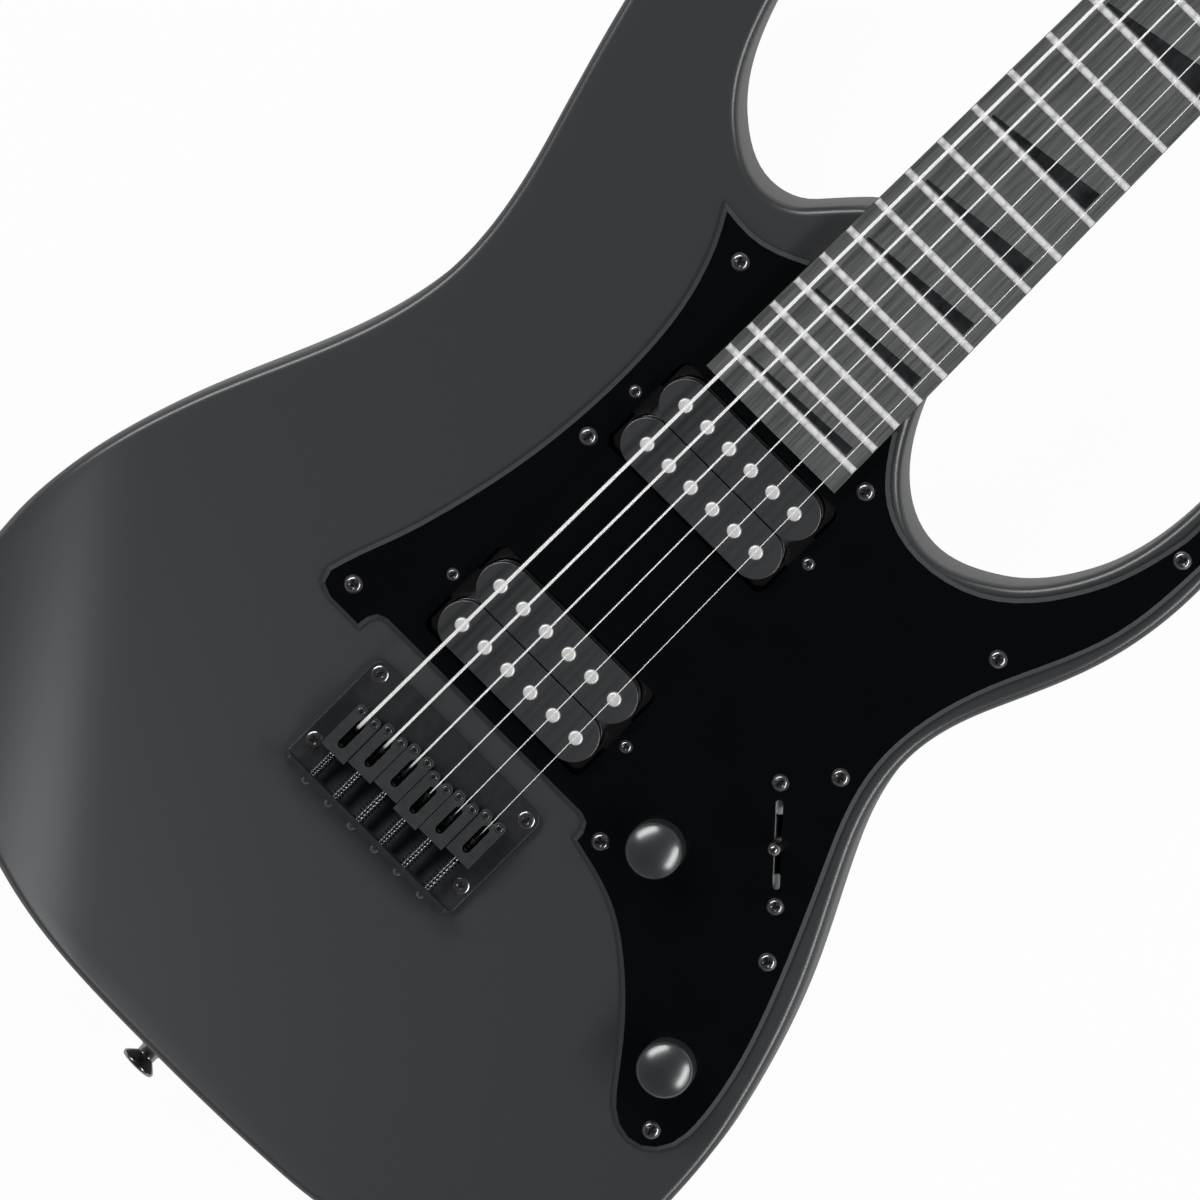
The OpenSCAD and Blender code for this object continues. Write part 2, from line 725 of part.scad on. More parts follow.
module truss_rod() {
    color([0.55, 0.55, 0.57])
        translate([truss_from, 0, truss_z])
            rotate([0, 90, 0]) {
                cylinder(r = 3, h = head_x + 8 - truss_from);
                difference() {
                    translate([0, 0, head_x + 7 - truss_from])
                        cylinder(r = 3.6, h = 12);
                    translate([0, 0, head_x + 12 - truss_from])
                        cylinder(r = 2.5, h = 20, $fn = 6);
                }
            }
}

module truss_rod_cover() {
    color([0.03, 0.03, 0.03])
        at_head()
            difference() {
                linear_extrude(2.2)
                    translate([24, 0])
                        rounded_shape(42, 20, 6);
                for (p = cover_screw_at)
                    translate([p[0], p[1], -1])
                        cylinder(r = 1.1 + screw_gap, h = 5);
            }
}

module neck_plate() {
    color([0.12, 0.12, 0.13])
        translate([board_end + 30, 0, -1.6])
            difference() {
                linear_extrude(1.6)
                    rounded_shape(53, 48, 4);
                for (p = neck_screw_at)
                    translate([p[0] - board_end - 30, p[1], -1])
                        cylinder(r = 2.1 + 2 * screw_gap, h = 5);
            }
}

module neck_screws() {
    color([0.12, 0.12, 0.13])
        for (p = neck_screw_at)
            translate([p[0], p[1], -1.6])
                rotate([180, 0, 0])
                    screw(4.2, 1.8, 2.1, pocket_floor + 1.6 + 13);
}

module strap_buttons() {
    color([0.05, 0.05, 0.055])
        at_strap_buttons()
            difference() {
                rotate_extrude()
                    polygon([
                        [0, 0.04], [4.6, 0.04], [4.6, 1], [3.4, 3], [3.3, 5.2], [strap_r - 0.5, 7.4],
                        [strap_r, 8], [strap_r, 8.8], [strap_r - 0.6, 9.4], [0, 9.4]
                    ]);
                translate([0, 0, -1])
                    cylinder(r = 1.9 + screw_gap, h = 20);
                translate([0, 0, 7.6])
                    cylinder(r = 4, h = 20);
            }
}

module pickguard() {
    color([0.012, 0.013, 0.016])
        difference() {
            translate([0, 0, body_t])
                linear_extrude(guard_t)
                    polygon(moved(guard_points, guard_bevel));
            collar(guard_points, bevel_section);
            translate([0, 0, body_t - 1])
                linear_extrude(10)
                    neck_shape(0.3, 260);
            for (x = pickup_x)
                translate([x, 0, body_t - 1])
                    linear_extrude(10)
                        rounded_shape(37.6, 70.4, 3.5);
            for (x = pickup_x, y = [-ear_y, ear_y])
                translate([x, y, body_t - 1])
                    cylinder(r = 1.3 + 2 * screw_gap, h = 10);
            for (p = knob_at)
                translate([p[0], p[1], body_t - 1])
                    cylinder(r = bush_r + screw_gap, h = 10);
            at_selector()
                translate([0, 0, body_t - 1]) {
                    linear_extrude(10)
                        slot_shape(
                            [selector_slot_w / 2 - selector_slot / 2, 0],
                            [selector_slot / 2 - selector_slot_w / 2, 0], selector_slot_w / 2);
                    for (x = [-selector_screw, selector_screw])
                        translate([x, 0, 0])
                            cylinder(r = 1.3 + screw_gap, h = 10);
                }
            for (p = guard_screw_at)
                translate([p[0], p[1], body_t - 1])
                    cylinder(r = 1.4 + screw_gap, h = 10);
        }
}
bush_r = shaft_r + 1;
bevel_section = [
    [guard_bevel + 0.3, guard_top - guard_bevel - 0.3], [guard_bevel + 0.3, guard_top + 0.3], [-0.3, guard_top + 0.3]
];

module pickguard_screws() {
    color([0.2, 0.2, 0.21])
        for (p = guard_screw_at)
            translate([p[0], p[1], guard_top])
                screw(guard_head_r, 1.5, 1.4, 13);
}

// Selector frame: a bracket under the pickguard and two cheeks that carry the pivot
module selector_switch() {
    cheek = lever_t + 0.6;
    color([0.5, 0.42, 0.3])
        at_selector() {
            difference() {
                union() {
                    translate([-23, -5, body_t - 1.2])
                        cube([46, 10, 1.2]);
                    translate([-16, -5, selector_pivot - 5])
                        cube([32, 10, body_t - 1.1 - selector_pivot + 5]);
                }
                translate([-selector_slot / 2, -cheek / 2, 0])
                    cube([selector_slot, cheek, body_t + 5]);
                translate([0, 10, selector_pivot])
                    rotate([90, 0, 0])
                        cylinder(r = 1.2, h = 20);
                for (x = [-selector_screw, selector_screw])
                    translate([x, 0, body_t - 5])
                        cylinder(r = 1.3 + screw_gap, h = 10);
            }
            translate([0, 5, selector_pivot])
                rotate([90, 0, 0])
                    cylinder(r = 1.2, h = 10);
            for (x = [-selector_screw, selector_screw])
                translate([x, 0, guard_top])
                    screw(guard_head_r - 0.2, 1.5, 1.3, 6);
        }
}

module selector_lever() {
    color([0.45, 0.45, 0.47])
        at_selector()
            difference() {
                union() {
                    translate([0, lever_t / 2, selector_pivot])
                        rotate([90, 0, 0])
                            cylinder(r = 3.6, h = lever_t);
                    translate([-1.6, -lever_t / 2, selector_pivot])
                        cube([3.2, lever_t, body_t + 15 - selector_pivot]);
                }
                translate([0, 10, selector_pivot])
                    rotate([90, 0, 0])
                        cylinder(r = 1.2 + run_gap, h = 20);
            }
}

module selector_tip() {
    color([0.03, 0.03, 0.03])
        at_selector()
            difference() {
                translate([0, 0, body_t + 8])
                    rotate_extrude()
                        difference() {
                            union() {
                                square([lever_tip_r, 11]);
                                translate([0, 11])
                                    circle(lever_tip_r);
                            }
                            translate([-20, -10])
                                square([20, 40]);
                        }
                translate([-1.62, -lever_t / 2 - 0.02, 0])
                    cube([3.24, lever_t + 0.04, body_t + 15.02]);
            }
}

module control_pots() {
    color([0.6, 0.6, 0.6])
        for (p = knob_at)
            translate([p[0], p[1], 0]) {
                difference() {
                    union() {
                        translate([0, 0, body_t - 11])
                            cylinder(r = 8.2, h = 10);
                        translate([0, 0, body_t - 3])
                            cylinder(r = 6.5, h = 3);
                        translate([0, 0, body_t - 2])
                            cylinder(r = bush_r, h = guard_t + 6);
                    }
                    translate([0, 0, body_t - 7])
                        cylinder(r = shaft_r + run_gap, h = 30);
                }
                translate([0, 0, guard_top])
                    difference() {
                        cylinder(r = 6.2, h = 2, $fn = 6);
                        translate([0, 0, -1])
                            cylinder(r = bush_r + 0.02, h = 5);
                    }
            }
}

module volume_knob() {
    knob(volume_at);
}

module tone_knob() {
    knob(tone_at);
}

// A domed knob on its potentiometer's shaft
module knob(p) {
    low = guard_top + 0.5;
    r = knob_d / 2;
    dome = 16;
    translate([p[0], p[1], 0]) {
        color([0.03, 0.03, 0.032])
            translate([0, 0, low])
                rotate_extrude()
                    difference() {
                        intersection() {
                            polygon([[0, 0], [r, 0], [r, knob_h - 4], [r - 1.4, knob_h], [0, knob_h]]);
                            translate([0, knob_h - dome])
                                circle(dome);
                        }
                        translate([-1, -1])
                            square([8.4, 6.2]);
                        translate([-1, -1])
                            square([shaft_r + 1.02, knob_h - 4]);
                        translate([-30, -5])
                            square([30, 60]);
                    }
        color([0.6, 0.6, 0.6])
            translate([0, 0, body_t - 6.5])
                cylinder(r = shaft_r, h = guard_t + 7 + knob_h - 6);
    }
}

module tone_capacitor() {
    color([0.35, 0.12, 0.05])
        translate([tone_at[0] + 1, tone_at[1] - 2.4, control_floor + 7]) {
            intersection() {
                cylinder(r = 5, h = 3.4);
                translate([-6, -4.4, -1])
                    cube([12, 8.8, 6]);
            }
            translate([-2.4, 0, 3])
                cylinder(r = 0.35, h = body_t - 11 - control_floor - 10.05);
            translate([2.4, 0, 3])
                cylinder(r = 0.35, h = body_t - 11 - control_floor - 10.05);
        }
}

// Wires rise from the cavity floor, follow it and rise again
function wire_path(a, b, low) = let (d = unit([b[0] - a[0], b[1] - a[1], 0])) [
    a, [a[0], a[1], low + 3] + 0.1 * d, [a[0], a[1], low + 0.9] + 1.1 * d, [a[0], a[1], low] + 3.2 * d,
    [b[0], b[1], low] - 3.2 * d, [b[0], b[1], low + 0.9] - 1.1 * d, [b[0], b[1], low + 3] - 0.1 * d, b
];

module hookup_wires() {
    low = pickup_floor + 1.1;
    deep = control_floor + 1.1;
    color([0.5, 0.06, 0.05]) {
        tube(wire_path(
            [bridge_pickup_x + 1, -22, base_top - base_t - 0.05], [volume_at[0] + 7, volume_at[1] + 1, body_t - 11.05],
            low), 0.8, 8, [0, 1, 0]);
        tube(wire_path(
            [neck_pickup_x - 12, -22, base_top - base_t - 0.05], [bridge_pickup_x + 10, -22, base_top - base_t - 0.05],
            low), 0.8, 8, [0, 1, 0]);
        tube(wire_path(
            [volume_at[0] + 4, volume_at[1] - 5, body_t - 11.05],
            [selector_at[0] - 3, selector_at[1] + 1, selector_pivot - 5.15], deep), 0.8, 8, [0, 1, 0]);
        tube(wire_path(
            [volume_at[0] - 4, volume_at[1] - 4, body_t - 11.05], [tone_at[0] + 6, tone_at[1] + 5, body_t - 11.05],
            deep), 0.8, 8, [0, 1, 0]);
        tube(jack_wire, 0.8, 8, [0, 1, 0]);
    }
}
function jack_deep(t) = jack_at - t * heading(jack_angle);
jack_leaf_z = body_t / 2 - 5.6;
jack_wire = [
    [tone_at[0] - 6, tone_at[1] + 1, body_t - 11.05], [tone_at[0] - 6.2, tone_at[1] + 1, 27],
    [tone_at[0] - 7.4, tone_at[1] + 0.9, 23.2], [tone_at[0] - 10, tone_at[1] + 0.9, 22],
    [mix(tone_at[0], jack_deep(30)[0], 0.8), mix(tone_at[1], jack_deep(30)[1], 0.8), 22],
    [jack_deep(34)[0] + 3, jack_deep(34)[1] - 1.4, 19.4], [jack_deep(33)[0], jack_deep(33)[1], 17.2],
    [jack_deep(31)[0], jack_deep(31)[1], jack_leaf_z], [jack_deep(28.05)[0], jack_deep(28.05)[1], jack_leaf_z]
];

module output_jack() {
    color([0.65, 0.65, 0.66])
        at_jack() {
            difference() {
                union() {
                    translate([0, 0, -jack_seat - 9])
                        cylinder(r = 4.7, h = jack_seat + 9 + 2.6);
                    translate([0, 0, -jack_seat - 3])
                        cylinder(r = 8, h = 3);
                    translate([5, -2.5, -28])
                        cube([1.2, 5, 24]);
                    translate([-6.2, -2.5, -22])
                        cube([1.2, 5, 18]);
                }
                translate([0, 0, -60])
                    cylinder(r = jack_bore_r, h = 80);
            }
            translate([0, 0, jack_plate_t - jack_seat])
                difference() {
                    cylinder(r = 7, h = 2.2, $fn = 6);
                    translate([0, 0, -1])
                        cylinder(r = 4.72, h = 5);
                }
        }
}

module jack_plate() {
    color([0.05, 0.05, 0.055])
        at_jack()
            translate([0, 0, -jack_seat])
                difference() {
                    cylinder(r = 15.8, h = jack_plate_t);
                    translate([0, 0, -1])
                        cylinder(r = 4.75, h = 5);
                    for (y = [-13, 13])
                        translate([0, y, -1])
                            cylinder(r = 1.3 + screw_gap, h = 5);
                }
}

module bridge_plate() {
    color([0.07, 0.07, 0.075])
        difference() {
            union() {
                translate([lip_back, 0, body_t])
                    linear_extrude(plate_t) {
                        translate([0, -plate_w / 2])
                            square([plate_front - lip_back - 4, plate_w]);
                        translate([0, 4 - plate_w / 2])
                            square([plate_front - lip_back, plate_w - 8]);
                        for (y = [-1, 1])
                            translate([plate_front - lip_back - 4, y * (plate_w / 2 - 4)])
                                circle(4);
                    }
                translate([lip_back, 0, body_t])
                    rotate([90, 0, 90])
                        linear_extrude(lip_t)
                            polygon([
                                [-plate_w / 2, 0], [plate_w / 2, 0], [plate_w / 2, 3.5], [plate_w / 2 - 2, plate_t + lip_h],
                                [2 - plate_w / 2, plate_t + lip_h], [-plate_w / 2, 3.5]
                            ]);
            }
            for (p = bridge_screw_at)
                translate([p[0], p[1], 0])
                    cylinder(r = 1.7 + screw_gap, h = 100);
            for (i = [0:string_count - 1]) {
                translate([hole_x, bridge_y(i), 0])
                    cylinder(r = 1.6, h = 100);
                translate([lip_back - 5, bridge_y(i), screw_z(i)])
                    rotate([0, 90, 0])
                        cylinder(r = intonation_r + run_gap, h = 10);
            }
        }
}

module wood_screws() {
    color([0.1, 0.1, 0.105]) {
        for (p = bridge_screw_at)
            translate([p[0], p[1], plate_top])
                screw(2.8, 0.95, 1.7, 22);
        at_jack()
            for (y = [-13, 13])
                translate([0, y, jack_plate_t - jack_seat])
                    screw(2.4, 1.2, 1.3, 13);
        at_strap_buttons()
            translate([0, 0, 7.6])
                screw(3.7, 1.6, 1.9, 30);
        for (i = [0:string_count - 1])
            at_tuner(i)
                translate([0, -ear_reach, -head_t - 1.6])
                    rotate([180, 0, 0])
                        screw(2, 1.2, 1.1, 8.5);
        for (p = cover_screw_at)
            at_head()
                translate([p[0], p[1], 2.2])
                    screw(2, 1.1, 1.1, 9);
    }
}

module string_ferrules() {
    color([0.6, 0.6, 0.6])
        for (i = [0:string_count - 1])
            translate([hole_x, bridge_y(i), 0])
                rotate_extrude()
                    polygon([[2.3, -0.4], [3.6, -0.4], [4, 0], [4, 9.9], [1.1, 9.9], [1.1, 7.5], [2.3, 7.5]]);
}

module tuner_housings() {
    color([0.08, 0.08, 0.085])
        for (i = [0:string_count - 1])
            at_tuner(i)
                difference() {
                    union() {
                        translate([1.6, 0, -head_t - 9.6])
                            linear_extrude(9.6)
                                rounded_shape(18, 17.6, 4);
                        translate([0, -ear_reach, -head_t - 1.6])
                            cylinder(r = 2.8, h = 1.6);
                        translate([-2.8, -ear_reach, -head_t - 1.6])
                            cube([5.6, 4, 1.6]);
                        translate([worm_offset, 8, -head_t - 5])
                            rotate([-90, 0, 0])
                                cylinder(r = 3.4, h = 4.5);
                    }
                    translate([0, 0, -head_t - 7.4])
                        cylinder(r = wheel_r + 0.4, h = 4.8);
                    translate([0, 0, -head_t - 5])
                        cylinder(r = post_r + run_gap, h = 20);
                    translate([worm_offset, -7.4, -head_t - 5])
                        rotate([-90, 0, 0])
                            cylinder(r = worm_r + run_gap, h = 30);
                    translate([0, -ear_reach, -head_t - 5])
                        cylinder(r = 1.1 + screw_gap, h = 10);
                }
}

module tuner_bushings() {
    color([0.1, 0.1, 0.105])
        for (i = [0:string_count - 1])
            at_tuner(i)
                difference() {
                    union() {
                        translate([0, 0, -head_t + 1])
                            cylinder(r = bushing_r, h = head_t);
                        cylinder(r = 7.2, h = 0.8);
                        cylinder(r = 6.8, h = bushing_top, $fn = 6);
                    }
                    translate([0, 0, -50])
                        cylinder(r = post_r + run_gap, h = 100);
                }
}

// A post with its worm wheel
module tuner_post(i) {
    color([0.1, 0.1, 0.105])
        at_tuner(i)
            difference() {
                rotate_extrude()
                    polygon([
                        [0, -head_t - 7.1], [wheel_r, -head_t - 7.1], [wheel_r, -head_t - 2.9], [post_r, -head_t - 2.9],
                        [post_r, bushing_top], [waist_r, bushing_top + 0.3], [waist_r, wind_top + 1],
                        [post_r, wind_top + 2], [post_r, post_h - 0.5], [post_r - 0.5, post_h], [0, post_h]
                    ]);
                translate([0, -10, wind_top + 3.1])
                    rotate([-90, 0, 0])
                        cylinder(r = 0.8, h = 20);
            }
}

// A button with its worm shaft
module tuner_button(i) {
    color([0.06, 0.06, 0.065])
        at_tuner(i)
            translate([worm_offset, 0, -head_t - 5]) {
                rotate([-90, 0, 0])
                    rotate_extrude()
                        polygon([
                            [0, -7.1], [worm_r, -7.1], [worm_r, 13], [3, 13], [3, 16.2], [2.2, 18], [0, 18]
                        ]);
                translate([0, 15.6 + button_r, 0])
                    intersection() {
                        rotate_extrude()
                            difference() {
                                intersection() {
                                    translate([0, button_t / 2 - 26])
                                        circle(26);
                                    translate([0, 26 - button_t / 2])
                                        circle(26);
                                    square([2 * button_r, 2 * button_t], center = true);
                                }
                                translate([-30, -30])
                                    square([30, 60]);
                            }
                        cube([button_w, 60, 60], center = true);
                    }
            }
}

// Strings: ball end, up through the body, over the saddle, over the nut and round the post
function wind_r(i) = waist_r + string_d[i] / 2 + 0.16;
function wind_pitch(i) = string_d[i] + 0.45;
function winding(i) = [for (k = [0:winding_turns * 12])
    let (a = 30 * k - 90, s = post_s(i), y = post_y(i))
        head_point([s + wind_r(i) * cos(a), y + wind_r(i) * sin(a), wind_top - wind_pitch(i) * k / 12])];
function winding_end(i) = let (w = winding(i), n = len(w)) w[n - 1] + 1.6 * string_d[i] * unit(w[n - 1] - w[n - 2]);
function string_path(i) = let (y = bridge_y(i), x = break_x(i), z = bridge_z(i)) concat([
    [hole_x, y, 4], [hole_x, y, plate_top + 1], [hole_x + 0.25, y, plate_top + 2], [hole_x + 0.9, y, plate_top + 2.9],
    [x - 1.6, y, z - 1.2], [x - 0.6, y, z - 0.32], [x + 0.6, y, z],
    [scale_length, nut_y(i), nut_z(i)], [scale_length + 1, nut_y(i), nut_z(i) - 0.02]
], winding(i), [winding_end(i)]);

module strings() {
    color([0.8, 0.8, 0.8])
        for (i = [0:string_count - 1]) {
            tube(string_path(i), string_d[i] / 2, 6, [0, 1, 0]);
            translate([hole_x, bridge_y(i), 3.4])
                cylinder(r = 1.9, h = 3.6);
        }
}

// Saddle: a block with a slot for the string, two lobes in front and two height screws
module saddle(i) {
    set = saddle_set[i];
    low = saddle_z(i);
    translate([set, bridge_y(i), 0]) {
        color([0.07, 0.07, 0.075])
            translate([0, 0, low])
                difference() {
                    linear_extrude(saddle_h) {
                        translate([-16.3, -saddle_w / 2])
                            square([15.2, saddle_w]);
                        translate([-1.2, -lobe_y - lobe_r])
                            square([1.2, 2 * lobe_y + 2 * lobe_r]);
                        for (y = [-lobe_y, lobe_y])
                            translate([0, y])
                                circle(lobe_r);
                    }
                    translate([0, 0, -1])
                        linear_extrude(20)
                            slot_shape([-11.8, 0], [-3.5, 0], 1.5);
                    for (y = [-lobe_y, lobe_y])
                        translate([0, y, -1])
                            cylinder(r = height_screw_r + 0.03, h = 20);
                    translate([-20, 0, 3.4])
                        rotate([0, 90, 0])
                            cylinder(r = intonation_r + run_gap, h = 8);
                    translate([-1.9, 10, saddle_h + 4.3])
                        rotate([90, 0, 0])
                            translate([0, 0, 8.6])
                                linear_extrude(2.8)
                                    polygon([[1.4, -4.3], [8, -5.6], [8, 1], [1.4, 1]]);
                }
        color([0.1, 0.1, 0.105])
            for (y = [-lobe_y, lobe_y])
                translate([0, y, plate_top + 0.06])
                    difference() {
                        cylinder(r = height_screw_r, h = low + saddle_h - 0.3 - plate_top);
                        translate([0, 0, low + saddle_h - 1.8 - plate_top])
                            cylinder(r = 0.8, h = 5, $fn = 6);
                    }
    }
}
lobe_y = 2.95;
lobe_r = 2.1;

module intonation_screw(i) {
    color([0.1, 0.1, 0.105])
        translate([lip_back - 0.06, bridge_y(i), screw_z(i)])
            rotate([0, 90, 0])
                rotate_extrude()
                    polygon([
                        [0, -1.9], [1.2, -1.9], [1.9, -1.2], [1.9, 0], [intonation_r, 0],
                        [intonation_r, saddle_back(i) + 4 - lip_back], [0, saddle_back(i) + 4 - lip_back]
                    ]);
}

function spring_path(i) = let (first = lip_front + spring_wire_r + 0.05, last = saddle_back(i) - spring_wire_r - 0.1)
    [for (k = [0:spring_turns * 8]) let (a = 45 * k + 90)
        [mix(first, last, k / (spring_turns * 8)), bridge_y(i) + spring_r * cos(a), screw_z(i) + spring_r * sin(a)]];

module intonation_springs() {
    color([0.3, 0.3, 0.31])
        for (i = [0:string_count - 1])
            tube(spring_path(i), spring_wire_r, 6, [1, 0, 0]);
}

echo("intonation spring least gap", min([for (i = [0:string_count - 1]) wound_gap(spring_path(i), spring_wire_r, 5)]));
echo("string winding least gap", min([for (i = [0:string_count - 1]) wound_gap(winding(i), string_d[i] / 2, 8)]));

module at_coils() {
    for (x = pickup_x, r = [-pole_row / 2, pole_row / 2])
        translate([x + r, 0, 0])
            children();
}

module poles_shape(p, r) {
    for (i = [0:string_count - 1])
        translate([0, side(i) * p])
            circle(r);
}

module pickup_baseplates() {
    color([0.1, 0.1, 0.1])
        for (x = pickup_x)
            translate([x, 0, base_top - base_t])
                linear_extrude(base_t)
                    difference() {
                        union() {
                            rounded_shape(36.6, 68.6, 3);
                            rounded_shape(13, 86, 3);
                        }
                        for (y = [-ear_y, ear_y])
                            translate([0, y])
                                circle(1.3 + screw_gap);
                    }
}

module pickup_bobbins() {
    color([0.05, 0.05, 0.052])
        for (k = [0, 1], r = [-pole_row / 2, pole_row / 2])
            translate([pickup_x[k] + r, 0, bobbin_low]) {
                difference() {
                    union() {
                        linear_extrude(1.6)
                            stadium_shape(bobbin_w, bobbin_l);
                        linear_extrude(bobbin_h)
                            stadium_shape(7, bobbin_l - 10.2);
                        translate([0, 0, bobbin_h - 1.6])
                            linear_extrude(1.6)
                                stadium_shape(bobbin_w, bobbin_l);
                    }
                    translate([0, 0, -1])
                        linear_extrude(40)
                            poles_shape(pole_pitch[k], pole_r + 0.02);
                }
            }
}

module pickup_coils() {
    color([0.02, 0.02, 0.02])
        at_coils()
            translate([0, 0, bobbin_low + 1.62])
                linear_extrude(bobbin_h - 3.24)
                    difference() {
                        stadium_shape(bobbin_w - 0.8, bobbin_l - 0.8);
                        stadium_shape(7.04, bobbin_l - 10.16);
                    }
}

module pickup_poles() {
    color([0.85, 0.85, 0.85])
        for (k = [0, 1], r = [-pole_row / 2, pole_row / 2], i = [0:string_count - 1])
            translate([pickup_x[k] + r, side(i) * pole_pitch[k], base_top + 0.02])
                rotate_extrude()
                    polygon([
                        [0, 0], [pole_r, 0], [pole_r, pole_h - 0.3], [pole_r - 0.3, pole_h], [0, pole_h]
                    ]);
}
pole_h = bobbin_h + magnet_t + 0.6;

module pickup_magnets() {
    color([0.25, 0.25, 0.27])
        for (x = pickup_x)
            translate([x - 6, -31, base_top + 0.01])
                cube([12, 62, magnet_t - 0.02]);
}

// Screws that hang each pickup from the pickguard, inside elastic sleeves
module pickup_height_screws() {
    color([0.15, 0.15, 0.16])
        for (x = pickup_x, y = [-ear_y, ear_y]) {
            translate([x, y, guard_top])
                screw(height_head_r, 1.2, 1.3, guard_top - base_top + 6);
            translate([x, y, base_top + 0.02])
                difference() {
                    cylinder(r = 2.6, h = body_t - base_top - 0.04);
                    translate([0, 0, -1])
                        cylinder(r = 1.3 + screw_gap, h = 40);
                }
        }
}

body();
neck();
fretboard();
frets();
position_markers();
nut();
truss_rod();
truss_rod_cover();
neck_plate();
neck_screws();
strap_buttons();
pickguard();
pickguard_screws();
selector_switch();
selector_lever();
selector_tip();
control_pots();
volume_knob();
tone_knob();
tone_capacitor();
hookup_wires();
output_jack();
jack_plate();
bridge_plate();
wood_screws();
string_ferrules();
tuner_housings();
tuner_bushings();
tuner_post(0);  // tuner_post_1
tuner_post(1);  // tuner_post_2
tuner_post(2);  // tuner_post_3
tuner_post(3);  // tuner_post_4
tuner_post(4);  // tuner_post_5
tuner_post(5);  // tuner_post_6
tuner_button(0);  // tuner_button_1
tuner_button(1);  // tuner_button_2
tuner_button(2);  // tuner_button_3
tuner_button(3);  // tuner_button_4
tuner_button(4);  // tuner_button_5
tuner_button(5);  // tuner_button_6
strings();
saddle(0);  // saddle_1
saddle(1);  // saddle_2
saddle(2);  // saddle_3
saddle(3);  // saddle_4
saddle(4);  // saddle_5
saddle(5);  // saddle_6
intonation_screw(0);  // intonation_screw_1
intonation_screw(1);  // intonation_screw_2
intonation_screw(2);  // intonation_screw_3
intonation_screw(3);  // intonation_screw_4
intonation_screw(4);  // intonation_screw_5
intonation_screw(5);  // intonation_screw_6
intonation_springs();
pickup_baseplates();
pickup_bobbins();
pickup_coils();
pickup_poles();
pickup_magnets();
pickup_height_screws();
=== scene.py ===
"""Looks of the electric guitar: finer body, strings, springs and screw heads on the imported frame."""
import json
import math

import bmesh
import bpy
import numpy as np
from mathutils import Matrix, Vector
from mathutils.geometry import delaunay_2d_cdt


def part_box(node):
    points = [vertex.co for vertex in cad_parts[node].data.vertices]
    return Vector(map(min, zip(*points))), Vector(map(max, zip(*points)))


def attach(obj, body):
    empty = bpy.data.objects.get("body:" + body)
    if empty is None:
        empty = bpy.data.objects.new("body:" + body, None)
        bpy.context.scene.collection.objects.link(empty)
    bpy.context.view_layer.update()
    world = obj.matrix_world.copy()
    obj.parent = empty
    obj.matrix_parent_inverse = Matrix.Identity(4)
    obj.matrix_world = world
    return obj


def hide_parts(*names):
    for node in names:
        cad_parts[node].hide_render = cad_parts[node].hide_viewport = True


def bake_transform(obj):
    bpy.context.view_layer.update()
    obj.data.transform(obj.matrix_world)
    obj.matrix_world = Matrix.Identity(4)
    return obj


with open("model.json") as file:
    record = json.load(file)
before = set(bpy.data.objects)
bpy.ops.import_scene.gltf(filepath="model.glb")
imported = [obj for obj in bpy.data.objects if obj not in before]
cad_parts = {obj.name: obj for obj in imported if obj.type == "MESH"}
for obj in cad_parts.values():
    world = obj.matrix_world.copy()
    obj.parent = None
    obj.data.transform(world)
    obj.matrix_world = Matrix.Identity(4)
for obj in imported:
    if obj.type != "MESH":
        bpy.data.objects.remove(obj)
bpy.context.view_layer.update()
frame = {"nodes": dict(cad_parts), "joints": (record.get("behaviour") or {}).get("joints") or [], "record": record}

MM = 0.001
NODE = frame["nodes"]
BODIES = frame["record"]["behaviour"]["bodies"]
BODY_OF = {node: body for body, members in BODIES.items() for node in members}
ROOT = BODY_OF["body"]
JOINT = {joint["name"]: joint for joint in frame["joints"]}
STRINGS = range(1, 7)
UP = Vector((0, 0, 1))
ACROSS = Vector((0, 1, 0))

# Photograph: the middle of the picture, its width on the object, and how the camera stands
PHOTO_CENTRE = Vector((74.8, 0, 52)) * MM
PHOTO_WIDTH = 385.2 * MM
CAMERA_TILT = math.radians(6.5)
PICTURE_TURN = math.radians(45.06)
LENS = 1000
SENSOR = 36

# Places that several pieces share, in millimetres
SCALE_LENGTH = 648
STRING_HOLE_X = -11
SELECTOR_TURN = math.radians(42.4)
SELECTOR_PIVOT = Vector(JOINT["selector_tilt"]["pos_m"]) / MM


# Materials

NOISE_DETAIL = 6.0
RAMP_ENDS = (0.3, 0.7)
LEAST_ROUGH = 0.02
BUMP_STRENGTH = 0.4


def paint(*rgb):
    """A colour written as 0-255 display values, as the shader's linear values."""
    return [((c / 255 + 0.055) / 1.055) ** 2.4 if c > 10 else c / 255 / 12.92 for c in rgb] + [1.0]


def even(scale):
    """The same grain along all three axes."""
    return (scale, scale, scale)


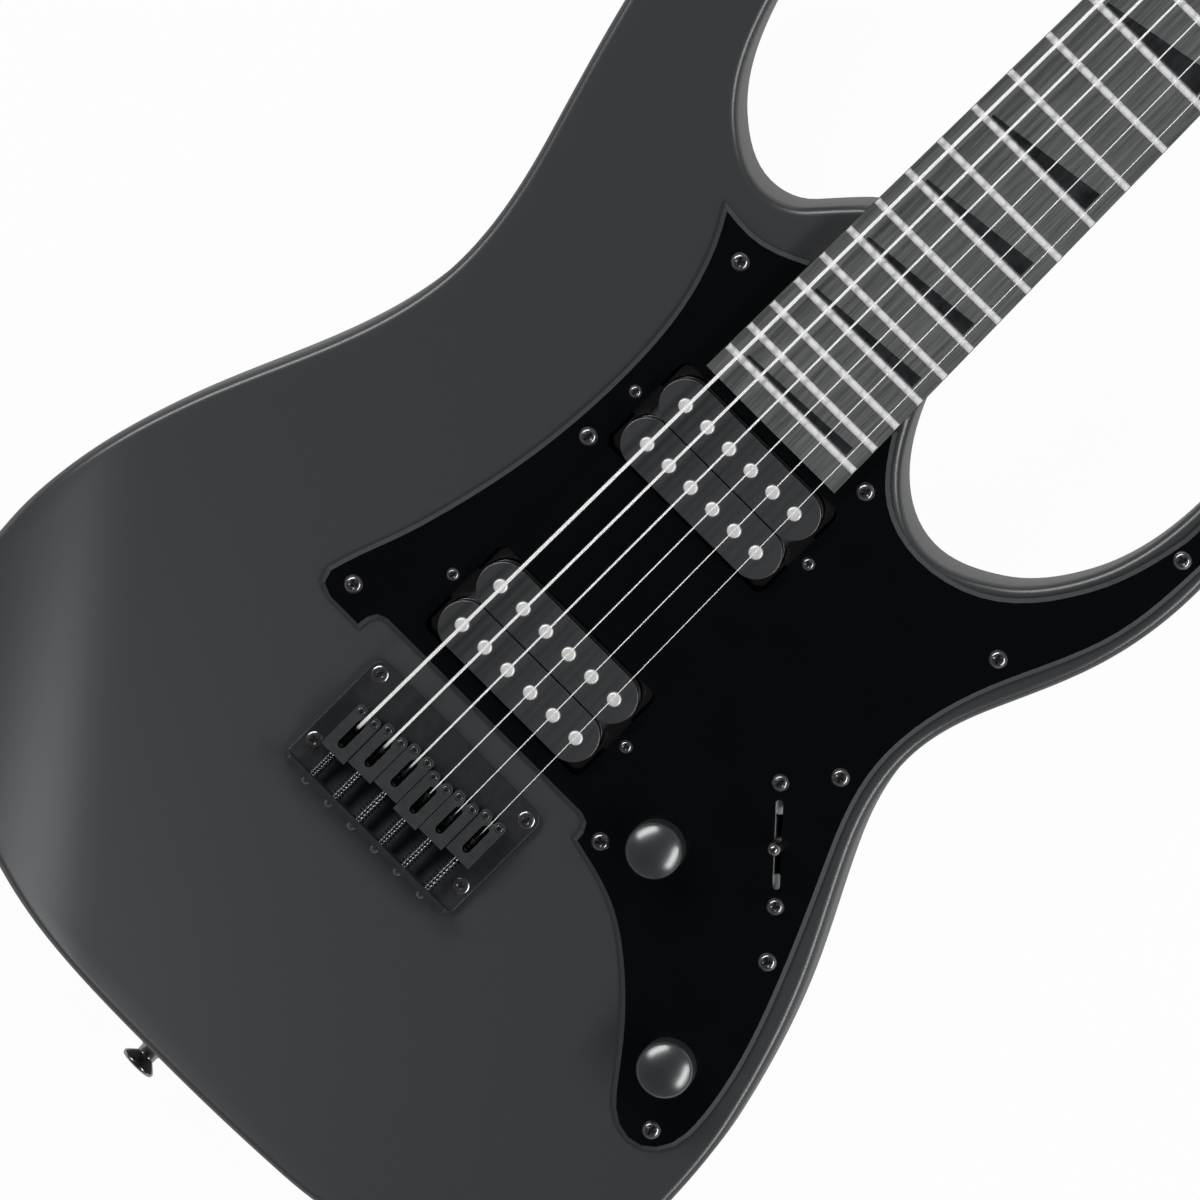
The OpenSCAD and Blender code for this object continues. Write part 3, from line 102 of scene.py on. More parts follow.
def material(name, colour, rough, metal=0.0, grain=even(400), vary=0.12, rough_vary=0.06,
             bump=0.0, specular=0.5, second=None, sheen=None):
    """A surface whose colour and roughness drift with a noise in the part's own space.

    The sheen is an even reflection laid over it, as (share, roughness).
    """
    made = bpy.data.materials.new(name)
    made.use_nodes = True
    tree = made.node_tree
    shader = tree.nodes["Principled BSDF"]
    shader.inputs["Metallic"].default_value = metal
    shader.inputs["Specular IOR Level"].default_value = specular
    coordinates = tree.nodes.new("ShaderNodeTexCoord")
    mapping = tree.nodes.new("ShaderNodeMapping")
    mapping.inputs["Scale"].default_value = grain
    noise = tree.nodes.new("ShaderNodeTexNoise")
    noise.inputs["Scale"].default_value = 1.0
    noise.inputs["Detail"].default_value = NOISE_DETAIL
    ramp = tree.nodes.new("ShaderNodeValToRGB")
    low = [c * (1 - vary) for c in colour[:3]] + [1]
    high = [min(1, c * (1 + vary)) for c in (second or colour)[:3]] + [1]
    for stop, position, shown in zip(ramp.color_ramp.elements, RAMP_ENDS, (low, high)):
        stop.position = position
        stop.color = shown
    rough_range = tree.nodes.new("ShaderNodeMapRange")
    rough_range.inputs["To Min"].default_value = max(LEAST_ROUGH, rough - rough_vary)
    rough_range.inputs["To Max"].default_value = min(1, rough + rough_vary)
    link = tree.links.new
    link(coordinates.outputs["Object"], mapping.inputs["Vector"])
    link(mapping.outputs["Vector"], noise.inputs["Vector"])
    link(noise.outputs["Fac"], ramp.inputs["Fac"])
    link(noise.outputs["Fac"], rough_range.inputs["Value"])
    link(ramp.outputs["Color"], shader.inputs["Base Color"])
    link(rough_range.outputs["Result"], shader.inputs["Roughness"])
    if bump:
        relief = tree.nodes.new("ShaderNodeBump")
        relief.inputs["Strength"].default_value = BUMP_STRENGTH
        relief.inputs["Distance"].default_value = bump
        link(noise.outputs["Fac"], relief.inputs["Height"])
        link(relief.outputs["Normal"], shader.inputs["Normal"])
    if sheen:
        gloss = tree.nodes.new("ShaderNodeBsdfGlossy")
        gloss.inputs["Roughness"].default_value = sheen[1]
        over = tree.nodes.new("ShaderNodeMixShader")
        over.inputs["Fac"].default_value = sheen[0]
        link(shader.outputs["BSDF"], over.inputs[1])
        link(gloss.outputs["BSDF"], over.inputs[2])
        link(over.outputs["Shader"], tree.nodes["Material Output"].inputs["Surface"])
    return made


SURFACES = {
    "black_paint": dict(colour=paint(50, 52, 54), rough=0.55, vary=0.05, grain=even(900), specular=0.1,
                        sheen=(0.08, 0.33)),
    "gloss_plastic": dict(colour=paint(5, 8, 11), rough=0.14, vary=0.1, rough_vary=0.03, grain=even(60)),
    "guard_edge": dict(colour=paint(66, 68, 70), rough=0.45, vary=0.06, grain=even(500)),
    "black_plastic": dict(colour=paint(52, 54, 57), rough=0.5, vary=0.08, grain=even(700), specular=0.2,
                          sheen=(0.14, 0.28)),
    "black_chrome": dict(colour=paint(72, 75, 77), rough=0.34, metal=0.7, vary=0.08, grain=even(500)),
    "saddle_black": dict(colour=paint(68, 71, 73), rough=0.45, metal=0.5, vary=0.08, grain=even(500)),
    "screw_black": dict(colour=paint(136, 136, 138), rough=0.22, metal=0.9, vary=0.1, grain=even(600)),
    "height_screw": dict(colour=paint(150, 151, 152), rough=0.26, metal=0.9, vary=0.1, grain=even(900)),
    "spring_steel": dict(colour=paint(70, 71, 72), rough=0.22, metal=0.9, vary=0.1, grain=even(900)),
    "bright_steel": dict(colour=paint(232, 232, 230), rough=0.36, metal=0.75, vary=0.05, grain=even(800)),
    "fret_steel": dict(colour=paint(252, 252, 250), rough=0.4, metal=0.25, vary=0.05, grain=even(900)),
    "string_steel": dict(colour=paint(255, 255, 253), rough=0.3, metal=0.25, vary=0.03, grain=even(1500)),
    "pole_steel": dict(colour=paint(244, 245, 243), rough=0.45, metal=0.5, vary=0.05, grain=even(900)),
    "board_wood": dict(colour=paint(76, 78, 78), rough=0.5, grain=(60, 1500, 1500), vary=0.12,
                       second=paint(98, 100, 100), bump=2e-5),
    "neck_wood": dict(colour=paint(168, 128, 84), rough=0.42, grain=(14, 260, 260), vary=0.1,
                      second=paint(190, 150, 104), bump=4e-6),
    "marker": dict(colour=paint(30, 31, 33), rough=0.22, grain=even(160), vary=0.3, second=paint(44, 45, 48)),
    "base_black": dict(colour=paint(12, 13, 14), rough=0.4, vary=0.1, grain=even(300), sheen=(0.22, 0.16)),
    "coil_tape": dict(colour=paint(20, 20, 21), rough=0.6, grain=(2000, 2000, 300), vary=0.3),
    "magnet": dict(colour=paint(90, 90, 94), rough=0.6, metal=0.4, vary=0.2),
    "wire": dict(colour=paint(150, 30, 26), rough=0.45, vary=0.1),
    "capacitor": dict(colour=paint(140, 60, 24), rough=0.25, vary=0.15),
    "knob_black": dict(colour=paint(49, 52, 54), rough=0.4, vary=0.05, specular=0.2, sheen=(0.115, 0.25)),
}
LOOKS = {name: material(name, **surface) for name, surface in SURFACES.items()}


# Meshes

WELD = 1e-7
FLAT_ANGLE = math.radians(0.5)
SQUARE_ANGLE = math.radians(60)
SHARP_ANGLE = math.radians(40)
DRUM_SIDES = 64


def shade(mesh, angle=35):
    """Smooth shading that keeps edges sharper than an angle."""
    mesh.shade_smooth()
    mesh.set_sharp_from_angle(angle=math.radians(angle))


def new_mesh(name, verts, faces):
    mesh = bpy.data.meshes.new(name)
    mesh.from_pydata([tuple(v) for v in verts], [], faces)
    return mesh


def piece(name, verts, faces, look, body, *nodes, angle=35, slot=None):
    """A new piece in metres that rides on a body and stands for CAD nodes."""
    mesh = new_mesh(name, verts, faces)
    mesh.validate()
    return place(name, mesh, look, body, *nodes, angle=angle, slot=slot)


def place(name, mesh, look, body, *nodes, angle=35, slot=None):
    shade(mesh, angle)
    mesh.materials.clear()
    mesh.materials.append(LOOKS[look])
    made = bpy.data.objects.new(name, mesh)
    bpy.context.scene.collection.objects.link(made)
    if body:
        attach(made, body)
    if nodes:
        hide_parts(*nodes)
    return made


def tube(points, radius, sides):
    """Vertices and faces of a closed tube along a path, its section carried without twist."""
    points = [Vector(p) for p in points]
    ways = []
    for k in range(len(points)):
        ways.append((points[min(k + 1, len(points) - 1)] - points[max(k - 1, 0)]).normalized())
    across = ways[0].orthogonal().normalized()
    verts, faces = [], []
    for k, (point, way) in enumerate(zip(points, ways)):
        across = (across - way * across.dot(way)).normalized()
        other = way.cross(across)
        for n in range(sides):
            turn = 2 * math.pi * n / sides
            verts.append(point + radius * (math.cos(turn) * across + math.sin(turn) * other))
        if k:
            for n in range(sides):
                a, b = (k - 1) * sides + n, (k - 1) * sides + (n + 1) % sides
                faces.append((a, b, b + sides, a + sides))
    faces.append(tuple(reversed(range(sides))))
    faces.append(tuple(range(len(verts) - sides, len(verts))))
    return verts, faces


def joined(parts):
    """Several (vertices, faces) as one."""
    verts, faces = [], []
    for more, loops in parts:
        faces += [tuple(k + len(verts) for k in loop) for loop in loops]
        verts += list(more)
    return verts, faces


def welded(node):
    """A copy of a CAD node's mesh with its vertices joined, as a bmesh."""
    bm = bmesh.new()
    bm.from_mesh(NODE[node].data)
    bmesh.ops.remove_doubles(bm, verts=bm.verts, dist=WELD)
    return bm


def islands(bm):
    """The vertices of each separate solid, in the mesh's own order, so that each run gives the same."""
    left, found = set(bm.verts), []
    for first in bm.verts:
        if first not in left:
            continue
        left.discard(first)
        todo, island = [first], []
        while todo:
            vert = todo.pop()
            island.append(vert)
            for edge in vert.link_edges:
                other = edge.other_vert(vert)
                if other in left:
                    left.discard(other)
                    todo.append(other)
        found.append(island)
    return found


def taken(bm, chosen):
    """A mesh of only some of the solids in a bmesh."""
    bm.verts.index_update()
    keep = {vert.index for island in chosen for vert in island}
    copy = bm.copy()
    bmesh.ops.delete(copy, geom=[v for v in copy.verts if v.index not in keep], context="VERTS")
    mesh = bpy.data.meshes.new("taken")
    copy.to_mesh(mesh)
    copy.free()
    return mesh


def softened(mesh, width):
    """Rounds a mesh's sharp outward edges a little, so that they catch the light."""
    bm = bmesh.new()
    bm.from_mesh(mesh)
    bmesh.ops.join_triangles(bm, faces=bm.faces, angle_face_threshold=FLAT_ANGLE,
                             angle_shape_threshold=SQUARE_ANGLE)
    sharp = [e for e in bm.edges if len(e.link_faces) == 2 and e.calc_face_angle_signed() > SHARP_ANGLE]
    bmesh.ops.bevel(bm, geom=sharp, offset=width, offset_type="OFFSET", segments=2, profile=0.5,
                    affect="EDGES", clamp_overlap=False)
    bmesh.ops.dissolve_degenerate(bm, dist=WELD, edges=bm.edges)
    bm.to_mesh(mesh)
    bm.free()
    return mesh


def make_soft(node, look, slot, width, chosen=None, name=None):
    """A piece with softened edges that stands for a node, or for some of its solids."""
    bm = welded(node)
    groups = islands(bm)
    mesh = softened(taken(bm, chosen(groups) if chosen else groups), width * MM)
    bm.free()
    made = place(name or node + "_look", mesh, look, BODY_OF[node], node, slot=slot)
    made.modifiers.new("even", "WEIGHTED_NORMAL").keep_sharp = True


def walls(count):
    """Faces of a closed prism whose vertices are its lower loop and then its upper one."""
    faces = [tuple(reversed(range(count))), tuple(range(count, 2 * count))]
    return faces + [(k, (k + 1) % count, count + (k + 1) % count, count + k) for k in range(count)]


def prism(points, low, high):
    """A prism over a flat outline, both in metres."""
    return [(x, y, low) for x, y in points] + [(x, y, high) for x, y in points], walls(len(points))


def slab(points, low, high):
    """A prism over a flat outline, both in millimetres."""
    return prism([(x * MM, y * MM) for x, y in points], low * MM, high * MM)


def lathe(profile, top, axis, sides=40):
    """A closed solid turned round an axis; the profile gives (radius, height above the top)."""
    side = axis.orthogonal().normalized()
    other = axis.cross(side)
    verts = []
    for r, h in profile:
        for k in range(sides):
            turn = 2 * math.pi * k / sides
            verts.append(top + h * axis + r * (math.cos(turn) * side + math.sin(turn) * other))
    faces = []
    for low in range(0, (len(profile) - 1) * sides, sides):
        for k in range(sides):
            after = (k + 1) % sides
            faces.append((low + k, low + sides + k, low + sides + after, low + after))
    faces.append(tuple(range(sides)))
    faces.append(tuple(reversed(range(len(verts) - sides, len(verts)))))
    return verts, faces


def drum(centre, axis, r, low, high):
    """A round cutter along an axis; sizes in millimetres from a centre in metres."""
    profile = [(r * MM, 0), (r * MM, (low - high) * MM)]
    return lathe(profile, centre + high * MM * axis, axis, DRUM_SIDES)


def turn_outwards(mesh):
    """Makes a mesh's faces look outwards."""
    bm = bmesh.new()
    bm.from_mesh(mesh)
    bmesh.ops.recalc_face_normals(bm, faces=bm.faces)
    bm.to_mesh(mesh)
    bm.free()


def cut(mesh, cutters):
    """The mesh less each cutter, given as (vertices, faces)."""
    target = bpy.data.objects.new("cut", mesh)
    bpy.context.scene.collection.objects.link(target)
    tools = []
    for verts, faces in cutters:
        data = new_mesh("cutter", verts, faces)
        turn_outwards(data)
        tool = bpy.data.objects.new("cutter", data)
        bpy.context.scene.collection.objects.link(tool)
        tools.append(tool)
        change = target.modifiers.new("cut", "BOOLEAN")
        change.operation = "DIFFERENCE"
        change.solver = "EXACT"
        change.object = tool
    ready = target.evaluated_get(bpy.context.evaluated_depsgraph_get())
    result = bpy.data.meshes.new_from_object(ready)
    for tool in tools + [target]:
        bpy.data.objects.remove(tool)
    return result


def middle(node):
    """Centre of a CAD node's box."""
    low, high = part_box(node)
    return (low + high) / 2


# Body outline and surfaces, in millimetres

BODY_T = 44
EDGE_R = 3
EDGE_STEPS = 6
OUTLINE_STEP = 3.0
FACE_STEP = 6.0
GRID_MARGIN = 0.4 * FACE_STEP
SAME_POINT = 1e-6
# Clockwise from the butt: position in millimetres and heading in degrees
BODY_KNOTS = [
    (-132.5, -8, 90), (-130.5, 50, 84), (-50, 152.4, 4), (-36, 152.98, -1), (24.9, 139.8, -20),
    (64.9, 122.9, -23), (121, 108.9, 0), (168.9, 117.1, 16.2), (208.9, 128.4, 14.5), (270, 140, 6),
    (303, 133.5, -75), (290, 115.5, -145), (249.2, 96.3, -163), (214.7, 77.1, -132), (204.7, 56.5, -90),
    (210.9, 41.8, -42), (223.9, 29.8, -45), (229.5, 18, -80), (222, -14, -118), (205, -25.6, -168),
    (190.9, -28.4, -158), (173.9, -37.8, -143), (159.1, -63.5, -90), (168, -86.4, -56),
    (190, -104.8, -28.6), (228.9, -114.3, -2), (249, -115.2, -4), (261, -121.8, -85),
    (251, -129.2, -166), (212, -133.9, 180), (168.9, -126.8, 161), (138.9, -114.2, 156), (107, -106, 180),
    (74.9, -113.6, 204.2), (34.9, -133, 203.7), (-15.1, -148.9, 192.7), (-50, -152.65, 182),
    (-130.9, -59.7, 93.4),
]
# Forearm roll-off: a point and the angle of its line, where it starts past the line, and its radius
ARM_LINE = (-130, 30)
ARM_ANGLE = math.radians(38.1)
ARM_START = 3.0
ARM_R = 105
# Spheres that hollow the back, as centre and radius, and the width over which their rims are rounded
BELLY = (20, 215, -398, 420)
SCOOP = (205, -84, -139.2, 150)
HOLLOW_RIM = 0.8


def heading(degrees):
    return np.array((math.cos(math.radians(degrees)), math.sin(math.radians(degrees))))


def outline(knots, step):
    """Points of a smooth closed curve through knots, each piece close to an arc."""
    points = []
    for (ax, ay, aa), (bx, by, ba) in zip(knots, knots[1:] + knots[:1]):
        turn = (ba - aa + 180) % 360 - 180
        chord = math.hypot(bx - ax, by - ay)
        handle = chord / (3 * math.cos(math.radians(turn / 4)) ** 2)
        start, end = np.array((ax, ay)), np.array((bx, by))
        leave, arrive = start + handle * heading(aa), end - handle * heading(ba)
        count = max(2, math.ceil(chord / step))
        for k in range(count):
            t = k / count
            points.append((1 - t) ** 3 * start + 3 * t * (1 - t) ** 2 * leave
                          + 3 * t * t * (1 - t) * arrive + t ** 3 * end)
    return np.array(points)


def to_the_left(ways):
    """Unit vectors square to the ways, on their left."""
    return np.stack((-ways[:, 1], ways[:, 0]), 1) / np.linalg.norm(ways, axis=1)[:, None]


def moved(points, distance):
    """A clockwise outline moved outwards."""
    u = to_the_left(points - np.roll(points, 1, 0))
    v = to_the_left(np.roll(points, -1, 0) - points)
    return points + distance * (u + v) / (1 + (u * v).sum(1))[:, None]


def soft_max(value, width):
    """Close to max(0, value), rounded over a width."""
    return (value + np.sqrt(value * value + width * width)) / 2


def face_level(points):
    """Height of the face, rolled off under the forearm."""
    way = np.array((-math.sin(ARM_ANGLE), math.cos(ARM_ANGLE)))
    beyond = np.maximum(0, (points - np.array(ARM_LINE)) @ way - ARM_START)
    return BODY_T - ARM_R + np.sqrt(ARM_R ** 2 - beyond ** 2)


def back_level(points):
    """Height of the back, hollowed for the player's body and behind the lower horn."""
    level = np.zeros(len(points))
    for x, y, z, r in (BELLY, SCOOP):
        flat = ((points - np.array((x, y))) ** 2).sum(1)
        level += soft_max(z + np.sqrt(np.maximum(r * r - flat, 1)), HOLLOW_RIM)
    return level


def inside(points, polygon):
    """Which points lie inside a polygon."""
    x, y = points[:, 0], points[:, 1]
    result = np.zeros(len(points), bool)
    for (ax, ay), (bx, by) in zip(polygon, np.roll(polygon, -1, 0)):
        if ay == by:
            continue
        result ^= ((ay > y) != (by > y)) & (x < (bx - ax) * (y - ay) / (by - ay) + ax)
    return result


def flat_face(ring):
    """Points and triangles that fill a ring, with a grid of points inside."""
    low, high = ring.min(0), ring.max(0)
    grid = np.array([(x, y) for x in np.arange(low[0], high[0], FACE_STEP)
                     for y in np.arange(low[1], high[1], FACE_STEP)])
    grid = grid[inside(grid, moved(ring, -GRID_MARGIN))]
    points = [Vector(p) for p in np.concatenate((ring, grid))]
    loop = list(range(len(ring)))
    points, _, faces, *_ = delaunay_2d_cdt(points, [], [loop], 1, SAME_POINT)
    return np.array(points), faces


def edge_rings(line):
    """Rings from the back's rim, round the two edges, to the face's rim."""
    angles = [math.pi / 2 * k / EDGE_STEPS for k in range(EDGE_STEPS + 1)]
    rings = []
    for a in reversed(angles):
        ring = moved(line, EDGE_R * (math.cos(a) - 1))
        rings.append(np.column_stack((ring, back_level(ring) + EDGE_R * (1 - math.sin(a)))))
    for a in angles:
        ring = moved(line, EDGE_R * (math.cos(a) - 1))
        rings.append(np.column_stack((ring, face_level(ring) - EDGE_R * (1 - math.sin(a)))))
    return rings


def body_mesh():
    """The body without its wells: a rounded wall between a hollowed back and a face with a roll-off."""
    line = outline(BODY_KNOTS, OUTLINE_STEP)
    count = len(line)
    rings = edge_rings(line)
    verts = [v for ring in rings for v in ring]
    faces = []
    for low in range(0, (len(rings) - 1) * count, count):
        for k in range(count):
            after = (k + 1) % count
            faces.append((low + k, low + after, low + count + after, low + count + k))
    points, loops = flat_face(rings[0][:, :2])
    for level, first, flip in ((back_level, 0, False), (face_level, len(rings) - 1, True)):
        heights = level(points)
        ids = list(range(first * count, (first + 1) * count))
        ids += range(len(verts), len(verts) + len(points) - count)
        verts += [np.array((p[0], p[1], h)) for p, h in zip(points[count:], heights[count:])]
        for loop in loops:
            face = tuple(ids[k] for k in loop)
            faces.append(face if flip else tuple(reversed(face)))
    mesh = new_mesh("body_look", [v * MM for v in verts], faces)
    turn_outwards(mesh)
    return mesh


# Wells and holes in the body, in millimetres

WELL_TOP = 60
# Floors of wells that run into each other differ by this, so that no two cutters share a plane
LAYER = 0.01
NUT_HALF = 21.5
HEEL_HALF = 29.15
HEEL_X = 152.5
POCKET_START = 152.35
POCKET_END = 262
POCKET_FLOOR = 28
PICKUP_X = (129.9, 46.4)
# Width, length and corner radius
COIL_WELL = (41, 72, 5)
EAR_WELL = (17, 90, 5)
PICKUP_FLOOR = 24
CONTROL_FLOOR = 14
POT_WELL_R = 9.6
LEAD_WELL_R = 9
SWITCH_WELL_R = 8
SWITCH_REACH = 17
JACK_PLATE_T = 2
JACK_RECESS_R = 16
JACK_RECESS = (0, 20)
JACK_BORE_R = 11
JACK_BORE = (-39.6, 10)
STRING_HOLE_R = 1.6
STRING_HOLE = (-5, 50)
FERRULE_BORE_R = 4.02
FERRULE_BORE = (-5, 11)


def rounded(x, y, w, l, r, sides=8):
    """A rectangle with round corners, anticlockwise."""
    points = []
    for cx, cy, start in ((1, 1, 0), (-1, 1, 90), (-1, -1, 180), (1, -1, 270)):
        for k in range(sides + 1):
            a = math.radians(start + 90 * k / sides)
            points.append((x + cx * (w / 2 - r) + r * math.cos(a), y + cy * (l / 2 - r) + r * math.sin(a)))
    return points


def slot_points(a, b, r, sides=16):
    """A straight slot with round ends."""
    way = math.atan2(b[1] - a[1], b[0] - a[0])
    points = []
    for (x, y, *_), start in ((b, way - math.pi / 2), (a, way + math.pi / 2)):
        for k in range(sides + 1):
            turn = start + math.pi * k / sides
            points.append((x + r * math.cos(turn), y + r * math.sin(turn)))
    return points


def selector_way(turn):
    return Vector((math.cos(turn), math.sin(turn), 0))


def neck_pocket():
    """Outline of the pocket, which narrows with the neck."""
    slope = (HEEL_HALF - NUT_HALF) / (SCALE_LENGTH - HEEL_X)
    end_half = HEEL_HALF - slope * (POCKET_END - HEEL_X)
    return [(POCKET_START, HEEL_HALF), (POCKET_START, -HEEL_HALF),
            (POCKET_END, -end_half), (POCKET_END, end_half)]


def control_wells():
    """Outlines of the wells for the pots, for their leads and for the selector."""
    volume, tone = middle("volume_knob") / MM, middle("tone_knob") / MM
    reach = SWITCH_REACH * selector_way(SELECTOR_TURN)
    return [slot_points(volume, tone, POT_WELL_R), slot_points(volume, SELECTOR_PIVOT, LEAD_WELL_R),
            slot_points(SELECTOR_PIVOT - reach, SELECTOR_PIVOT + reach, SWITCH_WELL_R)]


def jack_bores():
    """The jack plate's recess and the socket's bore, along the socket's axis."""
    jack = next(mount for mount in frame["record"]["mounts"] if mount["name"] == "jack_socket")
    out = Vector(jack["axis"])
    seat = middle("jack_plate") - JACK_PLATE_T / 2 * MM * out
    return [drum(seat, out, JACK_RECESS_R, *JACK_RECESS), drum(seat, out, JACK_BORE_R, *JACK_BORE)]


def make_body():
    cutters = [slab(neck_pocket(), POCKET_FLOOR, WELL_TOP)]
    for x in PICKUP_X:
        cutters.append(slab(rounded(x, 0, *COIL_WELL), PICKUP_FLOOR, WELL_TOP))
        cutters.append(slab(rounded(x, 0, *EAR_WELL), PICKUP_FLOOR + LAYER, WELL_TOP))
    for n, points in enumerate(control_wells()):
        cutters.append(slab(points, CONTROL_FLOOR + n * LAYER, WELL_TOP))
    cutters += jack_bores()
    holes = [Vector((STRING_HOLE_X * MM, middle("saddle_%d" % n).y, 0)) for n in STRINGS]
    cutters.append(joined([drum(hole, UP, STRING_HOLE_R, *STRING_HOLE) for hole in holes]))
    cutters.append(joined([drum(hole, UP, FERRULE_BORE_R, *FERRULE_BORE) for hole in holes]))
    place("body_look", cut(body_mesh(), cutters), "black_paint", ROOT, "body", angle=40)


# Screws: the head's profile as shares of its radius and height, the rest as shares of a radius

HEAD_STEPS = (0.3, 0.5, 0.62, 0.72, 0.8, 0.87, 0.93, 0.97, 1.0)
HEAD_DROP = 0.86
HEAD_POWER = 5
POINTED = 0.5
POINT_LENGTH = 1.6
POINT_R = 0.1
RECESS_ARM = 0.62
RECESS_HALF = 0.17
# Height and width of the recess's floor and of its cutter's top
RECESS_FLOOR = (-0.55, 0.55)
RECESS_TOP = (0.4, 1.15)
# From one screw's recess to the next one's, in radians
RECESS_TURN = 0.7
# Reading a CAD screw: shares of its length that count as an end and as the tip, the share of its radius that
# counts as the rim, above what an axis is snapped to the frame's, and the least step in level, in metres
END_SHARE = 0.1
TIP_SHARE = 0.001
RIM_SHARE = 0.98
SNAP_ABOVE = 0.999
NEAR = 1e-5


def screw_sizes(groups):
    """Top of the head, direction out of it, head radius and height, shank radius and length, tip radius."""
    found = []
    for island in groups:
        points = np.array([v.co for v in island])
        axis = np.linalg.svd(points - points.mean(0), full_matrices=False)[2][0]
        along = points @ axis
        length = along.max() - along.min()
        ends = [points[along < along.min() + END_SHARE * length],
                points[along > along.max() - END_SHARE * length]]
        if spread_of(ends[0]) > spread_of(ends[1]):
            axis, along = -axis, -along
        ends = [points[along < along.min() + TIP_SHARE * length],
                points[along > along.max() - END_SHARE * length]]
        tail, head = [(end.min(0) + end.max(0)) / 2 for end in ends]
        axis = (head - tail) / np.linalg.norm(head - tail)
        if np.abs(axis).max() > SNAP_ABOVE:
            axis = np.round(axis)
        along = (points - tail) @ axis
        radius = np.linalg.norm(points - tail - along[:, None] * axis, axis=1)
        seat = along[radius > RIM_SHARE * radius.max()].min()
        found.append((Vector(tail + axis * along.max()), Vector(axis), float(radius.max()),
                      float(along.max() - seat), float(radius[along < seat - NEAR].max()),
                      float(seat - along.min()), float(radius[along < along.min() + NEAR].max())))
    return found


def spread_of(points):
    """Longest side of the points' box."""
    return (points.max(0) - points.min(0)).max()


def screw_profile(head_r, head_h, shank_r, length, tip_r, sunk):
    """A nearly flat head, sunk by a share of its height and rounded at its rim, then the shank."""
    points = [(head_r * s, -head_h * (sunk + (HEAD_DROP - sunk) * s ** HEAD_POWER)) for s in HEAD_STEPS]
    points += [(head_r, -head_h), (shank_r, -head_h)]
    if tip_r < POINTED * shank_r:
        points.append((shank_r, POINT_LENGTH * shank_r - head_h - length))
        return points + [(POINT_R * shank_r, -head_h - length)]
    return points + [(shank_r, -head_h - length)]


def cross_recess(top, axis, radius, turn):
    """A tapered cross that is cut into a screw's head."""
    arm, half = RECESS_ARM * radius, RECESS_HALF * radius
    side = axis.orthogonal().normalized()
    other = axis.cross(side)
    plan = [(arm, -half), (arm, half), (half, half), (half, arm), (-half, arm), (-half, half),
            (-arm, half), (-arm, -half), (-half, -half), (-half, -arm), (half, -arm), (half, -half)]
    verts = []
    for level, scale in (RECESS_FLOOR, RECESS_TOP):
        for x, y in plan:
            u, v = x * scale, y * scale
            p = u * math.cos(turn) - v * math.sin(turn)
            q = u * math.sin(turn) + v * math.cos(turn)
            verts.append(top + p * side + q * other + level * radius * axis)
    return verts, walls(len(plan))


def make_screws(node, look, slot, chosen=None, name=None, sunk=0.0):
    """A node's screws, turned finely and with cross recesses, each recess turned its own way."""
    bm = welded(node)
    groups = islands(bm)
    sizes = screw_sizes(chosen(groups) if chosen else groups)
    bm.free()
    turned = [lathe(screw_profile(*size[2:], sunk), size[0], size[1]) for size in sizes]
    crosses = [cross_recess(top, axis, radius, RECESS_TURN * n)
               for n, (top, axis, radius, *_) in enumerate(sizes)]
    mesh = cut(new_mesh("screws", *joined(turned)), [joined(crosses)])
    place(name or node + "_look", mesh, look, BODY_OF[node], node, slot=slot)


# Strings and springs, in millimetres

STRING_D = (1.24, 0.97, 0.71, 0.46, 0.36, 0.28)
STRING_SIDES = 12
WINDING_SIDES = 10
# A string's tail: ahead of its hole and above the back, then ahead of and above its place on the saddle
TAIL_RISE = ((0, 4), (0, 47.5), (0.25, 48.5), (0.9, 49.4))
TAIL_BEND = ((-2.3, -1.2), (-1.3, -0.32), (-0.1, 0))
# The share of the way from the saddle to the nut at which a string's two pieces meet
SPLIT = 0.003
# A string's place on its saddle: behind the front end, and above the top
SADDLE_FRONT = 4.0
SADDLE_PLAY = 0.03
MIDDLE_STRING = 3.5
NUT_STEP = 7.1
NUT_RISE = 1.7
PAST_NUT = Vector((1, 0, -0.02))
BOARD_R = 400
BOARD_TOP = 52
HEAD_TILT = math.radians(11)
HEAD_START = Vector((654, 0, 45.6))
FIRST_POST = 34
POST_STEP = 24
POST_ASIDE = 3.1
POST_R = 2.66
WIND_LEVEL = 7.4
WIND_START = -math.pi / 2
COIL_TURNS = 2.4
COIL_GAP = 0.45
COIL_START = 0.3
LOOP_STEPS = 32
COIL_STEPS = 24
SPRING_TURNS = 9
SPRING_STEPS = 24
SPRING_SIDES = 8
SPRING_WIRE_R = 0.3
SPRING_R = 1.66
SPRING_PLAY = (0.05, 0.1)
BRIDGE_LIP = 2.2


def nut_place(n):
    """Where a string crosses the nut, in millimetres from the middle."""
    return (MIDDLE_STRING - n) * NUT_STEP


def on_post(n, d, turn, height):
    """A point of a string's winding round its post; the height above the headstock is in metres."""
    ahead = Vector((math.cos(HEAD_TILT), 0, -math.sin(HEAD_TILT)))
    up = Vector((math.sin(HEAD_TILT), 0, math.cos(HEAD_TILT)))
    along, aside = FIRST_POST + POST_STEP * (n - 1), nut_place(n) + POST_ASIDE
    foot = HEAD_START * MM + ahead * along * MM + ACROSS * aside * MM
    r = POST_R * MM + d / 2
    return foot + r * (math.cos(turn) * ahead + math.sin(turn) * ACROSS) + height * up


